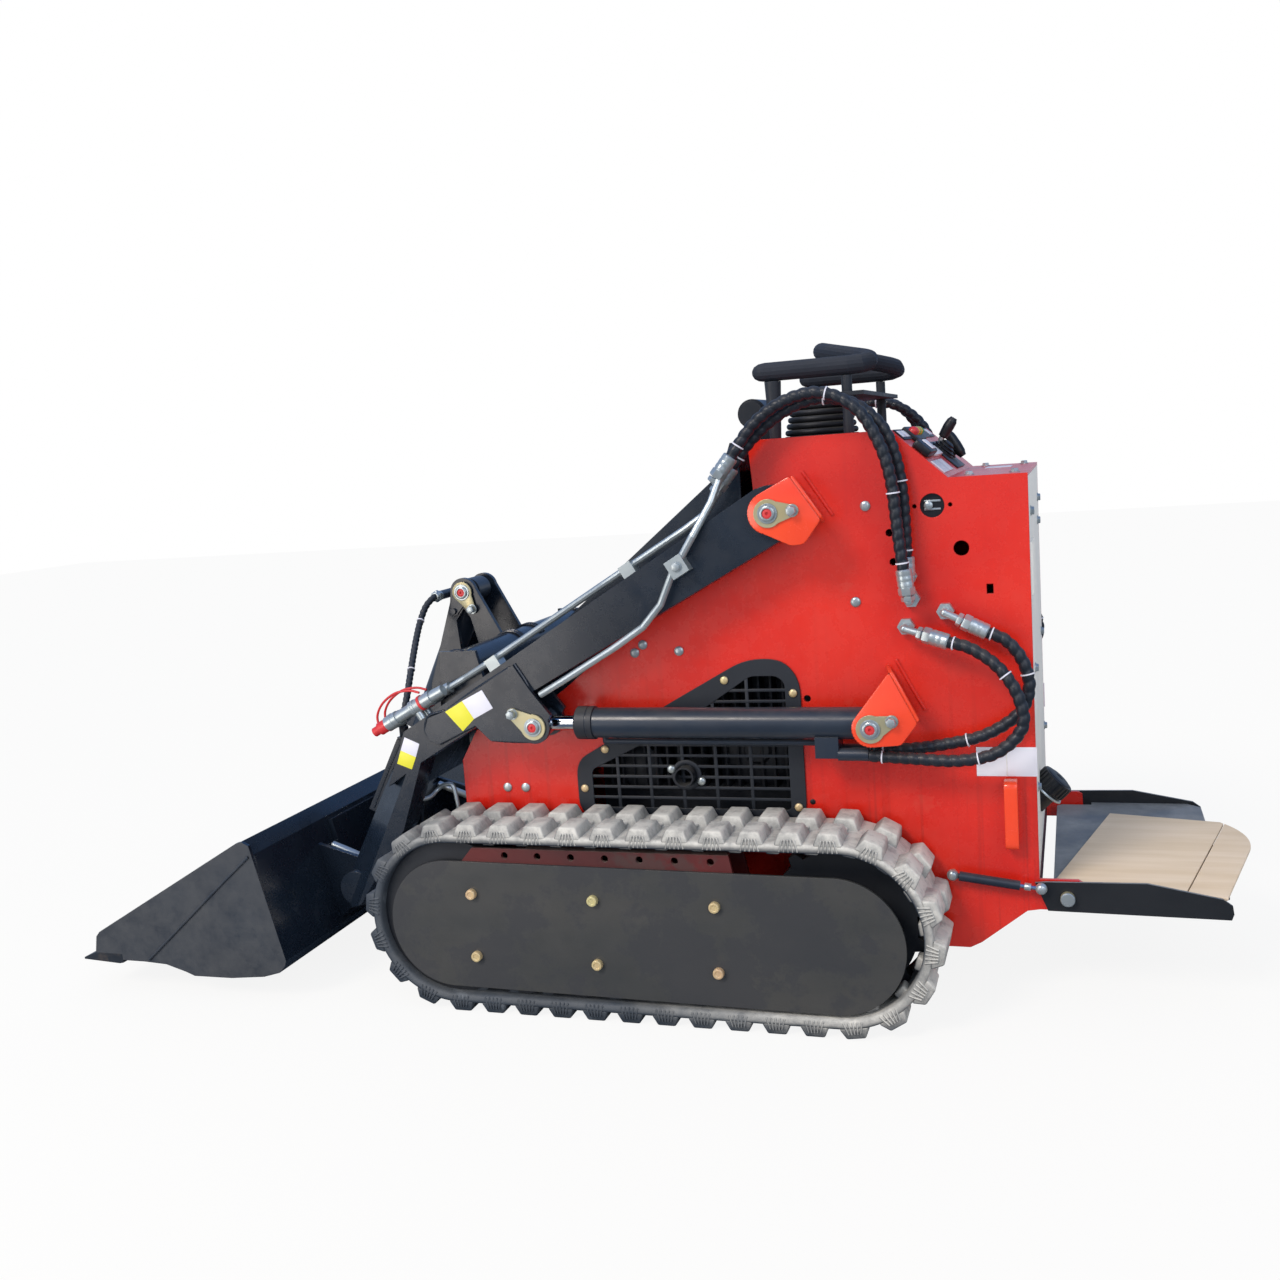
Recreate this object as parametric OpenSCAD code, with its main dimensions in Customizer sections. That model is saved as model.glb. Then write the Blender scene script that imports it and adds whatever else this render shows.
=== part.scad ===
/* [Tracks] */
// Links in each rubber track
track_links = 36; // [35:1:37]
// Length of one link along the track
track_pitch = 72; // [70:1:74]
// Width of each track
track_w = 180; // [170:5:190]
// Height of the lugs above the belt
lug_h = 20; // [16:1:24]
// Length of a lug's foot along the track
lug_len = 54; // [46:1:58]
// Overall height of a track
track_h = 390; // [382:2:398]
// Thickness of the belt
belt_t = 18; // [15:1:21]

/* [Chassis] */
// Distance between the outer faces of the red side plates
chassis_w = 620; // [610:2:626]
// Thickness of the side plates
plate_t = 8; // [6:1:10]
// Height of the top of the engine bay
top_z = 1098; // [1090:1:1106]
// Height of the rear deck
deck_z = 1006; // [1000:1:1012]
// Distance from the track centre back to the rear panel
rear_d = 731; // [727:1:737]

/* [Lift arms] */
// Width of an arm's tube
arm_w = 66; // [60:1:68]
// Diameter of the arm pivot pins
pivot_d = 30; // [26:1:34]
// Diameter of the round tube across the arms
cross_d = 76; // [70:1:82]

/* [Cylinders] */
// Outer diameter of the lift cylinders
barrel_d = 60; // [54:1:62]
// Diameter of the lift cylinder rods
rod_d = 30; // [26:1:32]
// Outer diameter of the tilt cylinder
tilt_d = 62; // [56:1:66]
// Diameter of the tilt cylinder rod
tilt_rod_d = 32; // [28:1:34]

/* [Bucket] */
// Width of the bucket
bucket_w = 1050; // [1020:5:1080]
// Thickness of the bucket's sheet
bucket_t = 8; // [6:1:10]

/* [Platform] */
// Gap between the chassis and each side plate of the foot platform
stand_gap = 3; // [2:0.5:5]
// Thickness of the tan board
board_t = 6; // [4:1:8]

/* [Hoses] */
// Outer diameter of the wrapped hoses
hose_d = 22; // [18:1:24]
// Outer diameter of the tilt cylinder's hoses
tilt_hose_d = 14; // [12:1:16]
// Outer diameter of the steel pipes on the arms
pipe_d = 14; // [12:1:16]

/* [Hidden] */
$fn = 48;
// Tip of the cutting edge, from the middle of the tracks
tip_x = 1294;
// Outer and inner faces of the side plates
py = chassis_w / 2;
pi_y = py - plate_t;
// Track outline
track_y0 = py + 10;
track_y1 = track_y0 + track_w;
track_r = track_h / 2;
belt_r = track_r - lug_h;
pitch_r = belt_r - belt_t / 2;
half_run = (track_links * track_pitch - 2 * PI * pitch_r) / 4;
bore_r = belt_r - belt_t;
roller_r = 46;
// Middle of the track's length, and its two wheels
track_x = 7;
idler_x = track_x + half_run;
sprocket_x = track_x - half_run;
roller_z = track_r - bore_r + roller_r + 0.3;
beam_y1 = track_y1 - 16;
beam_y0 = beam_y1 - 100;
// Arm pivot, elbow and bucket pivot in the side view
pv = [-283, 965];
el = [470, 540];
qp = [680, 205];
arm_y0 = py + 26;
arm_y1 = arm_y0 + arm_w;
arm_ym = (arm_y0 + arm_y1) / 2;
eye_w = arm_w / 2 - 0.3;
// Lift cylinder pins in the side view
cb = [-449, 566];
ce = [216, 569];
lift_len = norm(ce - cb);
lift_a = atan2(ce[1] - cb[1], ce[0] - cb[0]);
// Tilt cylinder pins in the side view
tb = [518, 805];
te = [752, 330];
tilt_len = norm(te - tb);
tilt_a = atan2(te[1] - tb[1], te[0] - tb[0]);
bracket_y0 = arm_y1 + 10;
bracket_y1 = bracket_y0 + 8;
ear_y0 = arm_y0 - 51;
ear_y1 = arm_y0 - 39;
// Platform pivot in the side view
fp = [-rear_d - 49, 225];
stand_y = py + stand_gap + 6;
// Gas spring ends in the side view
sb = fp + [204, 41];
se = fp + [46, 20];
spring_y = stand_y + 12;
// The board lies askew: place of its near front corner, its turn, and its rounded far corner
board_at = [fp[0] + 22, stand_y - 78];
board_turn = -13.4;
board_wide = 462;
board_long = 301;
board_r = 226;
board_arc = [board_r - board_long, -292];
board_rear = board_r - board_at[0] - board_arc[0] * cos(board_turn) + board_arc[1] * sin(board_turn);
// The origin lies under the middle of the whole length.
mid_x = (tip_x - board_rear) / 2;

// A side-view outline drawn out between two distances across the machine
module side(y0, y1) translate([0, y1, 0]) rotate([90, 0, 0]) linear_extrude(y1 - y0) children();
// A round bar across the machine
module bar(p, y0, y1, d) translate([p[0], y1, p[1]]) rotate([90, 0, 0]) cylinder(h = y1 - y0, d = d);
// A round bar from one point to another
module rod(a, b, d) {
    v = b - a;
    translate(a) rotate([0, acos(v[2] / norm(v)), atan2(v[1], v[0])]) cylinder(h = norm(v), d = d);
}
// A bent round bar through several points
module path(pts, d, bead = 0.6) {
    for (i = [0 : len(pts) - 2]) rod(pts[i], pts[i + 1], d);
    for (i = [1 : 1 : len(pts) - 2]) translate(pts[i]) sphere(d = d + bead);
}
module both() {
    children();
    mirror([0, 1, 0]) children();
}
module placed() translate([-mid_x, 0, 0]) children();

// A hose swept as one skin through its route
function unit(v) = v / norm(v);
module hose(p, d, n = 10, share = []) {
    last = len(p) - 1;
    r = [for (i = [0 : last]) len(share) > 0 ? share[i] * d / 2 : d / 2];
    heading = [for (i = [0 : last]) unit(p[min(i + 1, last)] - p[max(i - 1, 0)])];
    ring = [for (i = [0 : last]) let (
        b = unit([0, 1, 0] - heading[i][1] * heading[i]),
        c = cross(b, heading[i])
    ) for (k = [0 : n - 1]) p[i] + r[i] * (cos(360 * k / n) * b + sin(360 * k / n) * c)];
    skin = [for (i = [0 : last - 1], k = [0 : n - 1]) let (
        a = i * n + k,
        b = i * n + (k + 1) % n
    ) each [[a, b, a + n], [b, b + n, a + n]]];
    caps = [[for (k = [0 : n - 1]) n - 1 - k], [for (k = [0 : n - 1]) last * n + k]];
    polyhedron(points = ring, faces = concat(skin, caps), convexity = 6);
}
// The crimped sleeve behind a hose's end, which points from b to a
module sleeve(a, b, l = 28, d = 28) rod(a + unit(a - b) * l, a + unit(a - b) * 0.1, d);

// Routes of the hoses on the left side, measured across from the middle of the arm
function beside_arm(p) = [for (q = p) q + [0, arm_ym, 0]];
loop_a = beside_arm([
    [-582, -7, 715], [-628, 0, 701], [-674, 10, 668], [-706, 17, 618], [-712, 19, 562],
    [-668, 19, 516], [-600, 18, 500], [-520, 17, 503], [-440, 16, 508]
]);
loop_b = beside_arm([
    [-650, -25, 729], [-688, -24, 710], [-715, -23, 672], [-724, -21, 624], [-704, -20, 578],
    [-646, -19, 540], [-575, -19, 522], [-508, -19, 513], [-440, -19, 510]
]);
top_a = beside_arm([
    [-514, -5, 842], [-508, -5, 895], [-503, -5, 955], [-497, -5, 1015], [-480, -5, 1076],
    [-444, -5, 1138], [-384, -5, 1173], [-318, -4, 1166], [-256, -1, 1129], [-206, 7, 1066]
]);
top_b = beside_arm([
    [-516, -34, 862], [-516, -34, 915], [-514, -34, 980], [-505, -34, 1046], [-482, -34, 1106],
    [-430, -33, 1152], [-362, -31, 1164], [-296, -29, 1140], [-240, -26, 1096], [-200, -22, 1046]
]);
// Hoses from the tilt cylinder down to the plate across the legs
tilt_hose = [
    [579, 66.5, 799], [580, 86, 798], [589, 110, 781], [592, 138, 750], [585, 180, 712],
    [573, 232, 664], [561, 282, 616], [556, 318, 572], [556, 322, 552]
];

// Bare sheets of the chassis
module side_plate() side(pi_y, py) difference() {
    polygon([
        [-226, top_z], [-233, 991], [69, 714], [189, 623], [310, 540], [391, 541], [430, 475],
        [430, 120], [-563, 117], [-602, 117], [-623, 128], [23 - rear_d, 194], [-rear_d, 198],
        [-rear_d - 81, 198], [-rear_d - 78, 250], [-rear_d - 69, 256], [-rear_d, 256],
        [-rear_d, deck_z], [-593, deck_z], [-494, top_z]
    ]);
    translate([-563, 957]) circle(r = 22);
    for (x = [-531, -595]) translate([x, 957]) circle(r = 4);
    translate([-612, 877]) circle(r = 14);
    translate([-660, 801]) square([12, 18], center = true);
    for (p = [[-484, 911], [-489, 857], [-314, 601], [-317, 520]]) translate(p) circle(r = 7);
    polygon([
        [-291, 372], [-291, 640], [-262, 670], [-208, 670], [-34, 578], [146, 484], [158, 460], [158, 372]
    ]);
}
module side_plates() color("#c8281e") both() side_plate();

module cross_frame() color("#b8251c") {
    // Belly sheet between the side plates
    side(-pi_y, pi_y) polygon([[422, 120], [422, 128], [-560, 128], [-614, 132], [-622, 128], [-602, 120]]);
    // Front wall
    side(-pi_y, pi_y) polygon([[422, 128], [430, 128], [430, 470], [422, 470]]);
    // Rear wall below the panel, sloping forward at its foot
    side(-pi_y, pi_y) polygon([
        [23 - rear_d, 194], [-622, 128], [-614, 132], [31 - rear_d, 199], [8 - rear_d, 203],
        [8 - rear_d, 256], [-rear_d, 256], [-rear_d, 198]
    ]);
    // Stubs that carry the track frames
    both() for (x = [-60, 220]) translate([x - 40, py, 190]) cube([80, beam_y0 - py, 90]);
}

hood_pts = [
    [-206, 1096], [-190, 1096], [-170, 1042], [122, 808], [372, 606], [414, 548], [414, 478],
    [408, 478], [408, 546], [368, 602], [119, 803], [-175, 1038], [-193, 1090], [-206, 1090]
];
module front_hood() color("#3a3d40") {
    side(-pi_y, pi_y) polygon(hood_pts);
    both() side(pi_y - 4, pi_y) polygon([
        [-206, 1090], [-193, 1090], [-175, 1038], [119, 803], [368, 602], [408, 546], [408, 478],
        [414, 478], [414, 470], [300, 470], [100, 640], [-206, 940]
    ]);
}

module control_deck() color("#c8281e") {
    // Bent sheet: top, sloping control panel and rear deck
    side(-pi_y, pi_y) polygon([
        [-420, top_z], [-494, top_z], [-593, deck_z], [-rear_d, deck_z], [-rear_d, deck_z - 6],
        [-595, deck_z - 6], [-497, top_z - 6], [-420, top_z - 6]
    ]);
    // Ledges along the open engine bay
    both() translate([-420, 212, top_z - 6]) cube([214, pi_y - 212, 6]);
    // Shield below the front of the bay
    translate([-428, -pi_y, 700]) cube([6, 2 * pi_y, top_z - 706]);
}

module rear_panel() color("#c9ced2") translate([-rear_d, -pi_y, 256]) cube([6, 2 * pi_y, deck_z - 262]);

module engine_block() color("#2b2d2f") translate([-400, -190, 128]) cube([560, 380, 560]);

module engine_cowl() color("#1d1f21") {
    translate([-312, 0, 688]) cylinder(h = 396, d = 190);
    translate([-400, -150, 1060]) cube([180, 300, 26]);
    translate([-312, 0, 1084]) cylinder(h = 82, d1 = 140, d2 = 104);
    for (i = [0 : 5]) translate([-312, 0, 1094 + 13 * i])
        rotate_extrude() translate([73 - 3.4 * i, 0]) circle(r = 6.2, $fn = 24);
}

module air_filter() color("#1d1f21") {
    bar([-205, 1150], 40, 168, 58);
    bar([-205, 1150], 168, 176, 50);
    bar([-205, 1150], 32, 40, 46);
    translate([-238, 70, 1086]) cube([28, 70, 46]);
}

grip_x0 = -226;
grip_x1 = -446;
grip_y = py - 80;
grip_z = 1225;
// Left half of the padded bar's route, and how full it is at each point
grip_half = [
    [grip_x0, grip_y, grip_z], [grip_x0 - 4, grip_y, grip_z], [grip_x0 - 12, grip_y, grip_z],
    [grip_x0 - 24, grip_y, grip_z], [-320, grip_y, grip_z], [-410, grip_y, grip_z],
    [-432, grip_y - 4, grip_z + 1], [-445, grip_y - 18, grip_z + 4], [-444, grip_y - 36, grip_z + 9],
    [-434, grip_y - 54, grip_z + 13], [-344, 52, grip_z + 37], [-330, 30, grip_z + 41], [-322, 8, grip_z + 43]
];
grip_full = [0.3, 0.66, 0.9, 1, 1, 1, 1, 1, 1, 1, 1, 1, 1];
function flipped(p) = [for (i = [len(p) - 1 : -1 : 0]) [p[i][0], -p[i][1], p[i][2]]];
module handlebar() color("#26282a") bent_grip(
    concat(grip_half, flipped(grip_half)), concat(grip_full, [for (i = [12 : -1 : 0]) grip_full[i]]), 36
);
// A swept bar that may turn across the machine
module bent_grip(p, share, d, n = 16) {
    last = len(p) - 1;
    ring = [for (i = [0 : last]) let (
        t = unit(p[min(i + 1, last)] - p[max(i - 1, 0)]),
        b = unit([0, 0, 1] - t[2] * t),
        c = cross(t, b)
    ) for (k = [0 : n - 1]) p[i] + share[i] * d / 2 * (cos(360 * k / n) * b + sin(360 * k / n) * c)];
    skin = [for (i = [0 : last - 1], k = [0 : n - 1]) let (
        a = i * n + k,
        b = i * n + (k + 1) % n
    ) each [[a, a + n, b], [b, a + n, b + n]]];
    caps = [[for (k = [0 : n - 1]) k], [for (k = [0 : n - 1]) last * n + n - 1 - k]];
    polyhedron(points = ring, faces = concat(skin, caps), convexity = 6);
}
module handle_posts() color("#2b2d2f") {
    both() {
        translate([-264, grip_y, top_z]) cylinder(h = grip_z - 18.4 - top_z, d1 = 22, d2 = 32);
        translate([-406, grip_y, top_z]) cylinder(h = grip_z - 18.4 - top_z, d = 20);
    }
    translate([-440, -grip_y - 20, 1168]) cube([80, 2 * grip_y + 40, 8]);
}

// Foot of the levers on the sloping panel
lever_foot = [-550, 0, top_z - 56 * (top_z - deck_z) / 99];
module control_levers() color("#222426") {
    for (y = [-40, -110]) {
        rod(lever_foot + [0, y, 0], lever_foot + [-22, y, 22 * 99 / 92], 12);
        rod(lever_foot + [-22, y, 22 * 99 / 92], lever_foot + [-47, y, 58], 24);
        translate(lever_foot + [-47, y, 58]) sphere(d = 25);
    }
}

// Outline of the side grille and its rows of openings
grille_pts = [
    [-301, 362], [-301, 644], [-266, 682], [-205, 682], [-32, 590], [152, 492], [168, 464], [168, 362]
];
outlet = [-63, 449];
module side_grilles() color("#26292c") both() side(py, py + 4) difference() {
    polygon(grille_pts);
    intersection() {
        for (i = [0 : 5], j = [0 : 5]) translate([-268 + 70 * i, 388 + 46 * j]) square([52, 28]);
        polygon([
            [-285, 380], [-285, 636], [-258, 664], [-212, 664], [-40, 572], [136, 478], [148, 458], [148, 380]
        ]);
    }
    translate(outlet) circle(d = 46);
}
module exhaust_pipe() color("#1b1c1d") difference() {
    bar(outlet, 190, py + 26, 40);
    bar(outlet, py - 20, py + 30, 34);
}

module bent_bracket(pts, a, b) {
    u = (b - a) / norm(b - a);
    n = [-u[1], u[0]];
    side(bracket_y0, bracket_y1) polygon(pts);
    side(py, bracket_y0) polygon([a, b, b + n * 8, a + n * 8]);
}
module lift_brackets() color("#c8281e") both() difference() {
    union() {
        bent_bracket([
            [-247, 965], [-254, 988], [-262, 998], [-326, 1030], [-379, 949], [-346, 906],
            [-323, 906], [-283, 929], [-258, 939]
        ], [-326, 1030], [-379, 949]);
        bent_bracket([
            [-413, 569], [-424, 542], [-449, 532], [-502, 536], [-534, 576], [-487, 671], [-466, 640]
        ], [-487, 671], [-534, 576]);
    }
    bar(pv, bracket_y0 - 1, bracket_y1 + 1, pivot_d + 0.6);
    bar(cb, bracket_y0 - 1, bracket_y1 + 1, 25.6);
}
// Pins of the arms and cylinders with their pear-shaped keepers
module keeper(p, q, y0, d = 52) {
    bar(p, y0, y0 + 4, d);
    bar(q, y0, y0 + 4, 24);
    u = (q - p) / norm(q - p);
    n = [-u[1], u[0]];
    side(y0, y0 + 4) polygon([p + n * (d / 2 - 1), q + n * 11, q - n * 11, p - n * (d / 2 - 1)]);
    bar(q, y0 + 4, y0 + 10, 14);
}
module pivot_pins() color("#b8ae7a") both() {
    bar(pv, py, bracket_y1, pivot_d);
    keeper(pv, [-328, 968], bracket_y1);
    bar(cb, py, bracket_y1, 25);
    keeper(cb, [-488, 580], bracket_y1);
    // Platform pivots and the upper studs of its gas springs
    bar(fp, py, stand_y + 2, 16);
    bar(fp, stand_y + 0.5, stand_y + 8, 26);
    bar(sb, py, spring_y - 9.3, 10);
}

// Centre, height and outward direction of a point along the track
function track_at(s) =
    s < 2 * half_run ? [s - half_run, 0, -90]
    : s < 2 * half_run + PI * pitch_r ? [half_run, 0, -90 + (s - 2 * half_run) / pitch_r * 180 / PI]
    : s < 4 * half_run + PI * pitch_r ? [3 * half_run + PI * pitch_r - s, 0, 90]
    : [-half_run, 0, 90 + (s - 4 * half_run - PI * pitch_r) / pitch_r * 180 / PI];
module lug_row(y0, y1, shift) side(y0, y1) for (i = [0 : track_links - 1]) {
    q = track_at((i + shift) * track_pitch);
    translate([track_x + q[0], track_r]) rotate(q[2]) polygon([
        [belt_r - 3, -lug_len / 2], [belt_r + lug_h * 0.45, -lug_len / 2 + 3], [track_r, -lug_len / 2 + 9],
        [track_r, lug_len / 2 - 9], [belt_r + lug_h * 0.45, lug_len / 2 - 3], [belt_r - 3, lug_len / 2]
    ]);
}
module loop_shape(r) {
    for (x = [sprocket_x, idler_x]) translate([x, track_r]) circle(r = r);
    translate([sprocket_x, track_r - r]) square([2 * half_run, 2 * r]);
}
module track() {
    side(track_y0, track_y1) difference() {
        loop_shape(belt_r);
        loop_shape(bore_r);
    }
    lug_row(track_y1 - track_w * 0.46, track_y1, 0.67);
    lug_row(track_y0, track_y0 + track_w * 0.46, 0.86);
}
module track_left() color("#4a4f55") track();
module track_right() color("#4a4f55") mirror([0, 1, 0]) track();

module track_frames() color("#b8251c") both() {
    difference() {
        for (y = [beam_y0, beam_y1 - 8]) side(y, y + 8)
            polygon([
                [-150, 80], [-205, 130], [-205, 240], [-185, 341], [340, 341], [420, 250], [420, 150], [300, 80]
            ]);
        for (i = [0 : 6]) bar([-150 + 70 * i, 327], beam_y1 - 10, beam_y1 + 2, 14);
    }
    side(beam_y0 + 8, beam_y1 - 8) polygon([[-180, 341], [228, 341], [228, 333], [-180, 333]]);
}
module track_rollers() color("#232526") both() {
    for (x = [-110, 10, 130, 250]) bar([x, roller_z], beam_y0 + 8, beam_y1 - 8, 2 * roller_r);
    bar([idler_x, track_r], beam_y0 + 8, beam_y1 - 8, 2 * bore_r - 0.6);
    bar([sprocket_x, track_r], py, beam_y0 + 60, 150);
    bar([sprocket_x, track_r], beam_y0 + 12, beam_y0 + 40, 2 * bore_r - 34);
    side(beam_y0 + 12, beam_y0 + 40) for (i = [0 : 12])
        translate([sprocket_x, track_r]) rotate(i * 360 / 13)
            polygon([[bore_r - 24, -16], [bore_r - 1, -8], [bore_r - 1, 8], [bore_r - 24, 16]]);
}
// Middles of the cover's round ends
cover_f = [399, 183];
cover_b = [-375, 175];
cover_r = 131;
module track_covers() color("#44474a") both() side(beam_y1, beam_y1 + 6) {
    for (c = [cover_f, cover_b]) translate(c) circle(r = cover_r);
    translate(cover_b) rotate(atan2(cover_f[1] - cover_b[1], cover_f[0] - cover_b[0]))
        translate([0, 0.2 - cover_r]) square([norm(cover_f - cover_b), 2 * cover_r - 0.4]);
}
module cover_bolts() color("#d8d0b0") both() for (x = [-155, 88, 345], h = [-1, 1])
    bar([x, 180 + 64.6 * h + x * 0.01], beam_y1 + 6, beam_y1 + 13, 21);

// A nut on the side plate with a bent steel tube towards the hose's sleeve
module elbow(p, q, tube) {
    a = p + unit(p - q) * (28 + tube);
    sleeve(p, q);
    rod(p + unit(p - q) * 20, a, 14);
    translate(a) sphere(d = 15);
    rod([a[0], py, a[2]], a, 14);
    translate([a[0], py, a[2]]) rotate([-90, 0, 0]) cylinder(h = 16, d = 32, $fn = 6);
}
module hose_fittings() color("#aeb4b8") both() {
    elbow(loop_a[0], loop_a[1], 50);
    elbow(loop_b[0], loop_b[1], 50);
    elbow(top_a[0], top_a[1], 26);
    elbow(top_b[0], top_b[1], 4);
}
module loop_hoses() color("#2c3036") both() {
    hose(loop_a, hose_d);
    hose(loop_b, hose_d);
}
module arm_hoses() color("#2c3036") both() {
    hose(top_a, hose_d);
    hose(top_b, hose_d);
}

module tilt_hoses() color("#2c3036") both() {
    hose(tilt_hose, tilt_hose_d);
    rod([556, 322, 552.5], [556, 322, 530.3], 20);
}

module filler_cap() color("#1b1c1d") difference() {
    translate([-rear_d, 120, 364]) rotate([0, -45, 0]) {
        translate([0, 0, -20]) cylinder(h = 44, d = 50);
        translate([0, 0, 20]) cylinder(h = 30, d = 64);
    }
    translate([-rear_d, 60, 300]) cube([80, 120, 160]);
}
// Flat bars bent outwards at the rear corners
module grab_handles() color("#c8281e") both() translate([33 - rear_d, 0, 0]) rotate([90, 0, 90])
    linear_extrude(24) polygon([
        [py, 320], [py + 26, 320], [py + 36, 330], [py + 36, 440], [py + 26, 450], [py, 450],
        [py, 442], [py + 23, 442], [py + 28, 437], [py + 28, 333], [py + 23, 328], [py, 328]
    ]);

// Arm: tube, elbow, slanting leg and the plates around the rod's eye
leg_a = atan2(qp[0] - 520, 520 - qp[1]);
module arm_body() {
    side(arm_y0, arm_y1) {
        translate(pv) circle(r = 50);
        polygon([
            [-258, 1010], [512, 557], [479, 492], [400, 538], [213, 640], [-305, 916]
        ]);
    }
    side(arm_y0, arm_y1) polygon([[440, 522], [512, 557], [560, 440], [479, 492]]);
    // Leg with a face turned in towards the front
    difference() {
        side(arm_y0, arm_y1) polygon([
            [512, 557], [600, 420], [702, 238], [722, 190], [690, 165], [655, 180], [534, 348], [479, 492]
        ]);
        translate([482, arm_y1, 534]) rotate([0, 180 - leg_a, 0]) translate([0, 0, -30])
            rotate([0, 0, 42]) translate([-160, 0, -60]) cube([320, 120, 520]);
    }
    bar(qp, arm_y0, arm_y0 + 40, 76);
    // Plates on both faces that hold the rod's eye
    for (y = [arm_y0 - 10, arm_y1]) side(y, y + 10) {
        translate(ce) circle(r = 34);
        polygon([
            [250, 694], [217, 642], [178, 592], [212, 537], [312, 541], [343, 572], [429, 533],
            [450, 541], [458, 562], [448, 588], [414, 600]
        ]);
    }
    // The inner one reaches up to the round tube
    side(arm_y0 - 10, arm_y0)
        polygon([[340, 600], [366, 712], [448, 712], [458, 560], [430, 541], [350, 570]]);
}
module lift_arms() color("#3f4245") both() difference() {
    arm_body();
    bar(pv, arm_y0 - 1, arm_y1 + 1, pivot_d + 0.2);
    bar(qp, arm_y0 - 1, arm_y0 + 39, 30);
}

module arm_pins() color("#b8ae7a") both() {
    keeper(ce, [258, 596], arm_y1 + 10);
    bar(qp, ear_y0 - 2, arm_y0 + 39, 29.4);
    bar(qp, ear_y0 - 8, ear_y0 - 2, 44);
}

module cross_tube() color("#3f4245") {
    bar([412, 672], -arm_y0 + 10, arm_y0 - 10, cross_d);
    // Plate across the legs
    side(-arm_y0, arm_y0) polygon([[552, 520], [568, 526], [652, 372], [636, 366]]);
    // Seats of the tilt cylinder's hoses
    both() translate([546, 311, 512]) cube([22, 22, 18]);
    // Tower for the tilt cylinder
    both() difference() {
        side(48, 60) {
            translate(tb) circle(r = 32);
            polygon([
                [549, 813], [553, 783], [619, 596], [640, 462], [622, 440], [600, 446], [566, 560],
                [534, 640], [541, 740], [520, 768], [505, 746], [481, 652], [446, 640], [428, 668],
                [428, 700], [491, 820]
            ]);
        }
        bar(tb, 40, 70, 28);
    }
    bar(tb, -60, 60, 27.6);
    both() keeper(tb, [544, 762], 60, 46);
}

// Top edge of the arm's tube
arm_slope = atan2(1010 - 557, 512 + 258);
function arm_top(x) = 1010 - (x + 258) * tan(arm_slope);
// Steel pipes along the arms
pipe_a = beside_arm([
    [-190, 10, 1035], [-172, 29, 990], [-138, 50, 930], [-94, 51, 862], [-68, 51, 806],
    [-30, 51, 764], [30, 51, 726], [140, 48, 664], [196, 41, 634]
]);
pipe_b = beside_arm([
    [-186, -19, 1042], [-172, -15, 1002], [-150, -11, 968], [-110, -8, 942], [60, -1, 844],
    [330, -3, 688], [384, -15, 660], [420, -15, 641]
]);
module arm_pipes() color("#aeb6b8") both() {
    sleeve(top_a[9], top_a[8]);
    sleeve(top_b[9], top_b[8]);
    hose(concat([top_a[9] + unit(top_a[9] - top_a[8]) * 20], [for (i = [1 : 8]) pipe_a[i]]), pipe_d);
    hose(concat([top_b[9] + unit(top_b[9] - top_b[8]) * 20], [for (i = [1 : 7]) pipe_b[i]]), pipe_d);
    // Clamps on the side and on the top edge
    translate([-106, arm_y1, 876]) rotate([0, 30, 0]) translate([-18, 0, -18]) cube([36, 26, 36]);
    for (x = [0, 300]) translate([x, arm_ym - 1, arm_top(x)]) rotate([0, arm_slope, 0])
        translate([-14, -16, 0]) cube([28, 32, 26]);
}
// Line of the couplers in the side view, from the pipe to the dust cap
coupler_y = [arm_ym - 15, arm_ym + 17];
module couplers() color("#9aa0a4") both() for (y = coupler_y) {
    rod([420, y, 641], [448, y, 627], 24);
    rod([448, y, 627], [496, y, 602], 30);
    rod([496, y, 602], [530, y, 584], 25);
    rod([530, y, 584], [556, y, 570], 31);
    translate([472, y, arm_top(472)]) rotate([0, arm_slope, 0]) cylinder(h = 24, d = 18);
}
module dust_caps() color("#c22a2c") both() for (y = coupler_y) {
    rod([556, y, 570], [574, y, 560.3], 28);
    rod([574, y, 560.3], [588, y, 552.8], 20);
}

// Lift cylinder in its own line: barrel to the right of its pin
module along_lift() translate([cb[0], arm_ym, cb[1]]) rotate([0, -lift_a, 0]) children();
module lift_barrels() color("#2c2f32") both() along_lift() {
    difference() {
        union() {
            translate([0, 28, 0]) rotate([90, 0, 0]) cylinder(h = 56, d = 58);
            translate([20, 0, 0]) rotate([0, 90, 0]) cylinder(h = 562, d = barrel_d);
            translate([560, 0, 0]) rotate([0, 90, 0]) cylinder(h = 24, d = barrel_d + 4);
            translate([64, -26, -62]) cube([44, 52, 40]);
            for (y = [-19, 16]) translate([9.4, y, -56]) rotate([0, 90, 0]) cylinder(h = 56.6, d = 24);
            translate([108, -19, -42]) rotate([0, 90, 0]) cylinder(h = 430, d = 12);
            translate([538, -19, -42]) sphere(d = 12);
            translate([538, -19, -42]) cylinder(h = 30, d = 12);
        }
        translate([0, 40, 0]) rotate([90, 0, 0]) cylinder(h = 80, d = 25.4);
        translate([60, 0, 0]) rotate([0, 90, 0]) cylinder(h = 490, d = 46);
        translate([500, 0, 0]) rotate([0, 90, 0]) cylinder(h = 100, d = rod_d + 0.6);
    }
}
module lift_rods() color("#c4c9cc") both() along_lift() {
    translate([lift_len - 490, 0, 0]) rotate([0, 90, 0]) cylinder(h = 470, d = rod_d);
    translate([lift_len, eye_w, 0]) rotate([90, 0, 0]) cylinder(h = 2 * eye_w, d = 38);
    translate([lift_len, 24, 0]) rotate([90, 0, 0]) cylinder(h = 48, d = 56);
}
module along_tilt() translate([tb[0], 0, tb[1]]) rotate([0, -tilt_a, 0]) children();
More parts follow.
